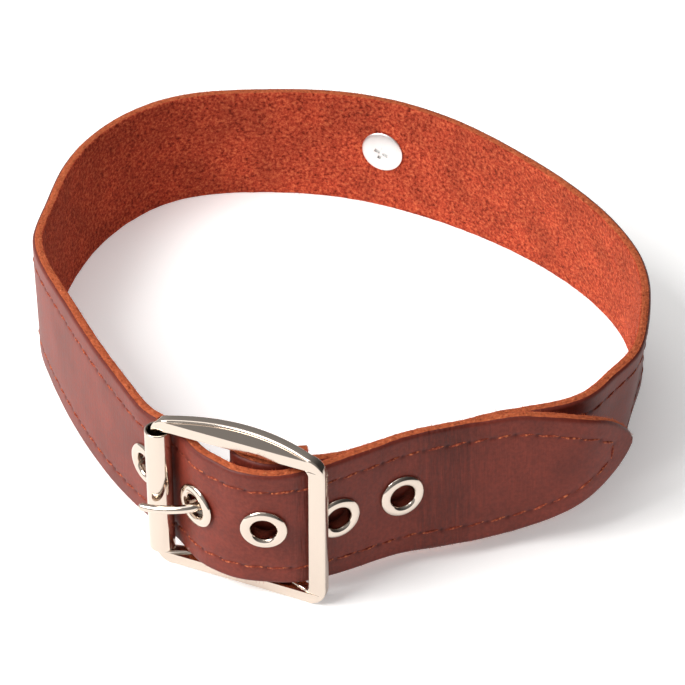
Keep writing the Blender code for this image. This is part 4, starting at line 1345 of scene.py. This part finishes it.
def make_eyelets():
    """Nickel eyelets: a rolled, domed flange on the grain side, a barrel and a clinched rim behind."""
    seat = LEATHER / 2
    bore = EYELET_HOLE_RADIUS
    wide = EYELET_RADIUS - bore
    back = CLINCH_RADIUS - bore
    profile = [(bore, CLINCH_DOME - seat), (bore, seat - 0.35 * EYELET_DOME)]
    profile += arc((bore + 0.42 * wide, seat), (0.42 * wide, EYELET_DOME), 180, 90, 12)[2:]
    crown = (bore + 0.42 * wide, seat + 0.1 * EYELET_DOME)
    profile += arc(crown, (0.58 * wide, 0.9 * EYELET_DOME), 84, 6, 12)
    profile += [(EYELET_RADIUS, seat + 0.04 * EYELET_DOME), (EYELET_RADIUS - 0.1 * MM, seat)]
    profile += [(bore + EYELET_WALL, seat), (bore + EYELET_WALL, -seat), (CLINCH_RADIUS, -seat)]
    profile += arc((bore + 0.5 * back, -seat), (0.5 * back, -CLINCH_DOME), 15, 165, 12)
    for number, at in enumerate(ROUTE.eyelets, 1):
        name = f"eyelet_{number}"
        made = turned(name + "_plated", profile, ROUTE.place(at, EYELET_RISE), material("polished_nickel"))
        finish_piece(made, "collar", [name])


def buckle_matrix():
    """The buckle's place: X along its rails, Y in towards the loop, Z up."""
    spot = buckle_point(0, 0) + SHIFT
    return Matrix.Translation((*spot, 0)) @ Matrix.Rotation(BUCKLE_TURN, 4, "Z")


def rounded_rectangle(left, right, low, high, left_radius, right_radius, steps=12, rail_step=0.8 * MM):
    """Points round a rectangle with round corners, close together along its rails, which get bowed."""
    corners = (
        (right, high, right_radius, -1, -1, 0),
        (left, high, left_radius, 1, -1, 90),
        (left, low, left_radius, 1, 1, 180),
        (right, low, right_radius, -1, 1, 270),
    )
    points = []
    for x, z, radius, right_way, up_way, start in corners:
        for step in range(steps + 1):
            angle = math.radians(start + 90 * step / steps)
            right_by, up_by = right_way + math.cos(angle), up_way + math.sin(angle)
            points.append((x + radius * right_by, z + radius * up_by))
        if start in (0, 180):
            run = (right - left) - left_radius - right_radius
            count = round(run / rail_step)
            x0, z0 = points[-1]
            way = -1 if start == 0 else 1
            points += [(x0 + way * run * i / count, z0) for i in range(1, count)]
    return points


def rail_bow(along):
    """How far back the rails are bowed at a distance along them: not at all at the two end bars."""
    share = min(abs(along) / (BUCKLE_WIDTH / 2 - END_BAR_WIDTH), 1.0)
    return RAIL_BOW * (1 - share**2)


def make_frame():
    """The cast frame: a plate with one opening, bowed between its end bars, and a round centre bar."""
    plate = bpy.data.curves.new("frame_plate", "CURVE")
    plate.dimensions = "2D"
    plate.fill_mode = "BOTH"
    plate.extrude = FRAME_THICKNESS / 2 - FRAME_EDGE
    plate.bevel_depth = FRAME_EDGE
    plate.bevel_resolution = 5
    plate.offset = -FRAME_EDGE
    half = BUCKLE_WIDTH / 2
    opening = (-half + ROLLER_BAR_WIDTH, half - END_BAR_WIDTH, RAIL_HEIGHT, RAIL_HEIGHT + OPENING_HEIGHT)
    outlines = (
        rounded_rectangle(-half, half, 0, BUCKLE_HEIGHT, FRAME_CORNER, FRAME_CORNER),
        rounded_rectangle(*opening, ROLLER_END_CORNER, OPENING_CORNER),
    )
    for points in outlines:
        spline = plate.splines.new("POLY")
        spline.points.add(len(points) - 1)
        for point, (x, z) in zip(spline.points, points):
            point.co = (x, z, 0, 1)
        spline.use_cyclic_u = True
    frame_piece = applied("buckle_frame_plated", make_object("frame_plate", plate))
    mesh = frame_piece.data
    mesh.transform(Matrix.Rotation(math.radians(90), 4, "X"))
    for vertex in mesh.vertices:
        vertex.co.y += rail_bow(vertex.co.x)
    weld(mesh)
    mesh.transform(buckle_matrix())
    place = buckle_matrix() @ Matrix.Translation((CENTRE_BAR_SHIFT, rail_bow(CENTRE_BAR_SHIFT), 0))
    bar = cylinder("centre_bar", CENTRE_BAR_RADIUS, RAIL_HEIGHT / 3, BUCKLE_HEIGHT - RAIL_HEIGHT / 3, place)
    frame_piece = cut(frame_piece, [bar], "UNION")
    frame_piece.data.materials.clear()
    frame_piece.data.materials.append(material("polished_nickel"))
    smooth(frame_piece.data, 40)
    return finish_piece(frame_piece, "collar", ["buckle_frame"])


def make_roller():
    """The thin rolled tube on the frame's roller bar, with rounded lips at its two open ends."""
    low, high = RAIL_HEIGHT + GAP, RAIL_HEIGHT + OPENING_HEIGHT - GAP
    inner = ROLLER_RADIUS - ROLLER_WALL
    lip = ROLLER_WALL / 2
    middle = inner + lip
    profile = arc((middle, high - lip), (lip, lip), 0, 180, 8)
    profile += arc((middle, low + lip), (lip, lip), 180, 360, 8)
    place = buckle_matrix() @ Matrix.Translation((ROLLER_AT, 0, 0))
    made = turned("roller_plated", profile, place, material("polished_nickel"))
    return finish_piece(made, "roller", ["roller"])


def prong_places():
    """Middle line of the prong from its eye through the engaged eyelet and over the roller."""
    hole = np.array(ROUTE.frames([ROUTE.eyelets[ENGAGED_EYELET]])[0][0][:2]) - SHIFT
    face = np.array([math.sin(BUCKLE_TURN), -math.cos(BUCKLE_TURN)])
    hole_out = (hole - buckle_point(0, 0)) @ face
    rows = []
    for share, out, droop in PRONG_LINE:
        place = buckle_point(along_in_buckle(-share), hole_out + out * PRONG_REACH) + SHIFT
        rows.append((*place, MID_HEIGHT - droop * PRONG_DROOP))
    return [Vector(point) for point in smooth_path(rows)[::2]]


def make_prong():
    """The wire prong: an eye round the centre bar, and a slightly tapered shank with a round nose."""
    line = prong_places()
    shank = bpy.data.curves.new("prong_shank", "CURVE")
    shank.dimensions = "3D"
    shank.bevel_depth = PRONG_RADIUS
    shank.bevel_resolution = 10
    shank.use_fill_caps = True
    spline = shank.splines.new("POLY")
    slim = PRONG_TIP_RADIUS / PRONG_RADIUS
    rows = [(place, 1 + (slim - 1) * i / (len(line) - 1)) for i, place in enumerate(line)]
    nose = (line[-1] - line[-2]).normalized() * PRONG_TIP_RADIUS
    for angle in np.radians((12, 24, 36, 48, 60, 70, 80)):
        rows.append((line[-1] + nose * math.sin(angle), slim * math.cos(angle)))
    spline.points.add(len(rows) - 1)
    for point, (place, radius) in zip(spline.points, rows):
        point.co = (*place, 1)
        point.radius = radius
    prong = applied("prong_plated", make_object("prong_shank", shank))
    weld(prong.data)
    middle = Matrix.Translation((*(buckle_point(CENTRE_BAR_SHIFT, -RAIL_BOW) + SHIFT), MID_HEIGHT))
    eye_radius = CENTRE_BAR_RADIUS + GAP + PRONG_RADIUS
    ring = arc((eye_radius, 0), (PRONG_RADIUS, PRONG_RADIUS), 0, 345, 23)
    eye = turned("prong_eye", ring, middle, material("polished_nickel"), 72)
    prong = cut(prong, [eye], "UNION")
    prong.data.materials.clear()
    prong.data.materials.append(material("polished_nickel"))
    smooth(prong.data, 40)
    return finish_piece(prong, "collar", ["prong"])


def make_stud():
    """The cross-slotted screw on the suede side, and the plain round post head on the grain side."""
    place = ROUTE.place(ROUTE.stud, SCREW_RISE)
    seat = LEATHER / 2
    rise = SCREW_HEAD_HEIGHT
    profile = [(0.0, seat - GAP), (SCREW_SHANK_RADIUS, seat - GAP), (SCREW_SHANK_RADIUS, -seat)]
    profile += [(SCREW_HEAD_RADIUS - 0.1 * MM, -seat)]
    profile += arc((0, -seat - 0.25 * rise), (SCREW_HEAD_RADIUS, -0.75 * rise), 0, 90, 20)
    screw = turned("screw_head", profile, place, material("zinc_plated_steel"))
    for turn in (0, math.pi / 2):
        spin = Matrix.Rotation(turn + CROSS_TURN, 4, "Z")
        drop = Matrix.Translation((0, 0, -seat - rise))
        size = Matrix.Diagonal((CROSS_LENGTH, CROSS_WIDTH, 2 * CROSS_DEPTH, 1))

        def fill(drawing, matrix=place @ drop @ spin @ size):
            bmesh.ops.create_cube(drawing, size=1.0, matrix=matrix)

        screw = cut(screw, [make_object("cross", mesh_from("cross", fill))])
    smooth(screw.data)
    finish_piece(screw, "collar", ["screw"])

    inner = SCREW_SHANK_RADIUS + GAP
    barrel = inner + POST_WALL
    bevel = POST_HEAD_BEVEL
    top = seat + POST_HEAD_HEIGHT
    profile = [(0.0, top)] + arc((POST_HEAD_RADIUS - bevel, top - bevel), (bevel, bevel), 90, 0, 8)
    profile += [(POST_HEAD_RADIUS, seat), (barrel, seat), (barrel, -seat + GAP)]
    profile += [(inner, -seat + GAP), (inner, seat), (0.0, seat)]
    post = turned("screw_post_plated", profile, place, material("polished_nickel"))
    finish_piece(post, "collar", ["screw_post"])


# Stage


def area_light(name, spot, aim, size, power, tint=(1, 1, 1)):
    data = bpy.data.lights.new(name, "AREA")
    data.shape = "RECTANGLE"
    data.size, data.size_y = size
    data.energy = power
    data.color = tint
    made = bpy.data.objects.new(name, data)
    bpy.context.scene.collection.objects.link(made)
    made.location = spot
    made.rotation_euler = (Vector(aim) - Vector(spot)).to_track_quat("-Z", "Y").to_euler()


def make_stage():
    """Pale floor, a large soft light at the left, a weak one overhead, a dim room, and the camera."""
    scene = bpy.context.scene
    stage = scene.collar_stage
    white = (1, 1, 1, 1)
    floor_material, tree, shader = new_material(
        "matt_white_paper", Roughness=0.9, Emission_Color=white, Emission_Strength=stage.floor_glow
    )
    place = add(tree, "ShaderNodeTexCoord").outputs["Object"]
    pulp = add(tree, "ShaderNodeTexNoise", {"Vector": place, "Scale": 1 / PAPER_PULP, "Detail": 2.0})
    tone = with_ramp(
        add(tree, "ShaderNodeValToRGB", {0: pulp.outputs["Fac"]}),
        (0.0, tuple(0.98 * part for part in stage.floor)),
        (1.0, tuple(stage.floor)),
    )
    tree.links.new(tone, shader.inputs["Base Color"])
    spread = {"x_segments": 2, "y_segments": 2, "size": FLOOR_REACH}
    sheet = mesh_from("floor", lambda drawing: bmesh.ops.create_grid(drawing, **spread))
    make_object("floor", sheet, floor_material)

    area_light("key", (-0.80, -0.35, 0.85), (0, 0, 0), (0.7, 0.7), stage.key_power)
    area_light("overhead", (-0.3, 0.1, 1.3), (0, 0, 0), (1.2, 1.0), 5)

    world = bpy.data.worlds.new("studio")
    scene.world = world
    world.use_nodes = True
    tree = world.node_tree
    way = add(tree, "ShaderNodeSeparateXYZ", {0: add(tree, "ShaderNodeTexCoord").outputs["Generated"]})
    glow = add(tree, "ShaderNodeMapRange", {0: way.outputs["X"], 1: -0.8, 2: 0.8, 3: 0.55, 4: 0.05})
    tree.links.new(glow.outputs[0], tree.nodes["Background"].inputs["Strength"])
    tree.nodes["Background"].inputs["Color"].default_value = (1, 1, 1, 1)

    camera = bpy.data.objects.new("camera", bpy.data.cameras.new("camera"))
    scene.collection.objects.link(camera)
    camera.data.sensor_width = SENSOR
    camera.data.lens = LENS
    aim = Vector((SHIFT[0], CAMERA_AIM_AWAY + SHIFT[1], 0))
    back = Vector((0, -math.cos(CAMERA_HEIGHT_ANGLE), math.sin(CAMERA_HEIGHT_ANGLE)))
    camera.location = aim + back * CAMERA_DISTANCE
    camera.rotation_euler = (-back).to_track_quat("-Z", "Y").to_euler()
    scene.camera = camera
    scene.view_settings.view_transform = "Standard"


# Operators, panel and registration


class COLLAR_OT_strap(bpy.types.Operator):
    """Make the leather strap"""

    bl_idname = "collar.strap"
    bl_label = "Strap"

    def execute(self, context):
        make_strap()
        return {"FINISHED"}


class COLLAR_OT_stitches(bpy.types.Operator):
    """Sew the rows of stitches along the strap"""

    bl_idname = "collar.stitches"
    bl_label = "Stitches"

    def execute(self, context):
        make_stitches()
        return {"FINISHED"}


class COLLAR_OT_fibres(bpy.types.Operator):
    """Grow the loose fibres on the cut edges and the suede"""

    bl_idname = "collar.fibres"
    bl_label = "Fibres"

    def execute(self, context):
        make_fibres()
        return {"FINISHED"}


class COLLAR_OT_eyelets(bpy.types.Operator):
    """Make the eyelets"""

    bl_idname = "collar.eyelets"
    bl_label = "Eyelets"

    def execute(self, context):
        make_eyelets()
        return {"FINISHED"}


class COLLAR_OT_buckle(bpy.types.Operator):
    """Make the buckle's frame, roller and prong"""

    bl_idname = "collar.buckle"
    bl_label = "Buckle"

    def execute(self, context):
        make_frame()
        make_roller()
        make_prong()
        return {"FINISHED"}


class COLLAR_OT_stud(bpy.types.Operator):
    """Make the screw stud"""

    bl_idname = "collar.stud"
    bl_label = "Screw Stud"

    def execute(self, context):
        make_stud()
        return {"FINISHED"}


class COLLAR_OT_stage(bpy.types.Operator):
    """Set up the floor, lights and camera"""

    bl_idname = "collar.stage"
    bl_label = "Stage"

    def execute(self, context):
        make_stage()
        return {"FINISHED"}


OPERATORS = (
    COLLAR_OT_stage,
    COLLAR_OT_strap,
    COLLAR_OT_stitches,
    COLLAR_OT_fibres,
    COLLAR_OT_eyelets,
    COLLAR_OT_buckle,
    COLLAR_OT_stud,
)


class COLLAR_PT_panel(bpy.types.Panel):
    """Sizes, colours and operators of the collar"""

    bl_label = "Dog Collar"
    bl_idname = "COLLAR_PT_panel"
    bl_space_type = "VIEW_3D"
    bl_region_type = "UI"
    bl_category = "Collar"

    def draw(self, context):
        for group, kind in GROUPS.items():
            settings = getattr(context.scene, group)
            for name in kind.__annotations__:
                self.layout.prop(settings, name)
        for operator in OPERATORS:
            self.layout.operator(operator.bl_idname)


CLASSES = (*GROUPS.values(), *OPERATORS, COLLAR_PT_panel)


def register():
    for kind in CLASSES:
        bpy.utils.register_class(kind)
    for group, kind in GROUPS.items():
        setattr(bpy.types.Scene, group, bpy.props.PointerProperty(type=kind))


def unregister():
    for group in GROUPS:
        delattr(bpy.types.Scene, group)
    for kind in reversed(CLASSES):
        bpy.utils.unregister_class(kind)


def clear_start():
    """Removes Blender's own first objects, which aren't part of the frame."""
    for item in list(bpy.context.scene.objects):
        if item.name in ("Cube", "Light", "Camera"):
            bpy.data.objects.remove(item)


def main():
    clear_start()
    register()
    for operator in OPERATORS:
        family, name = operator.bl_idname.split(".")
        getattr(getattr(bpy.ops, family), name)()


if __name__ == "__main__":
    main()
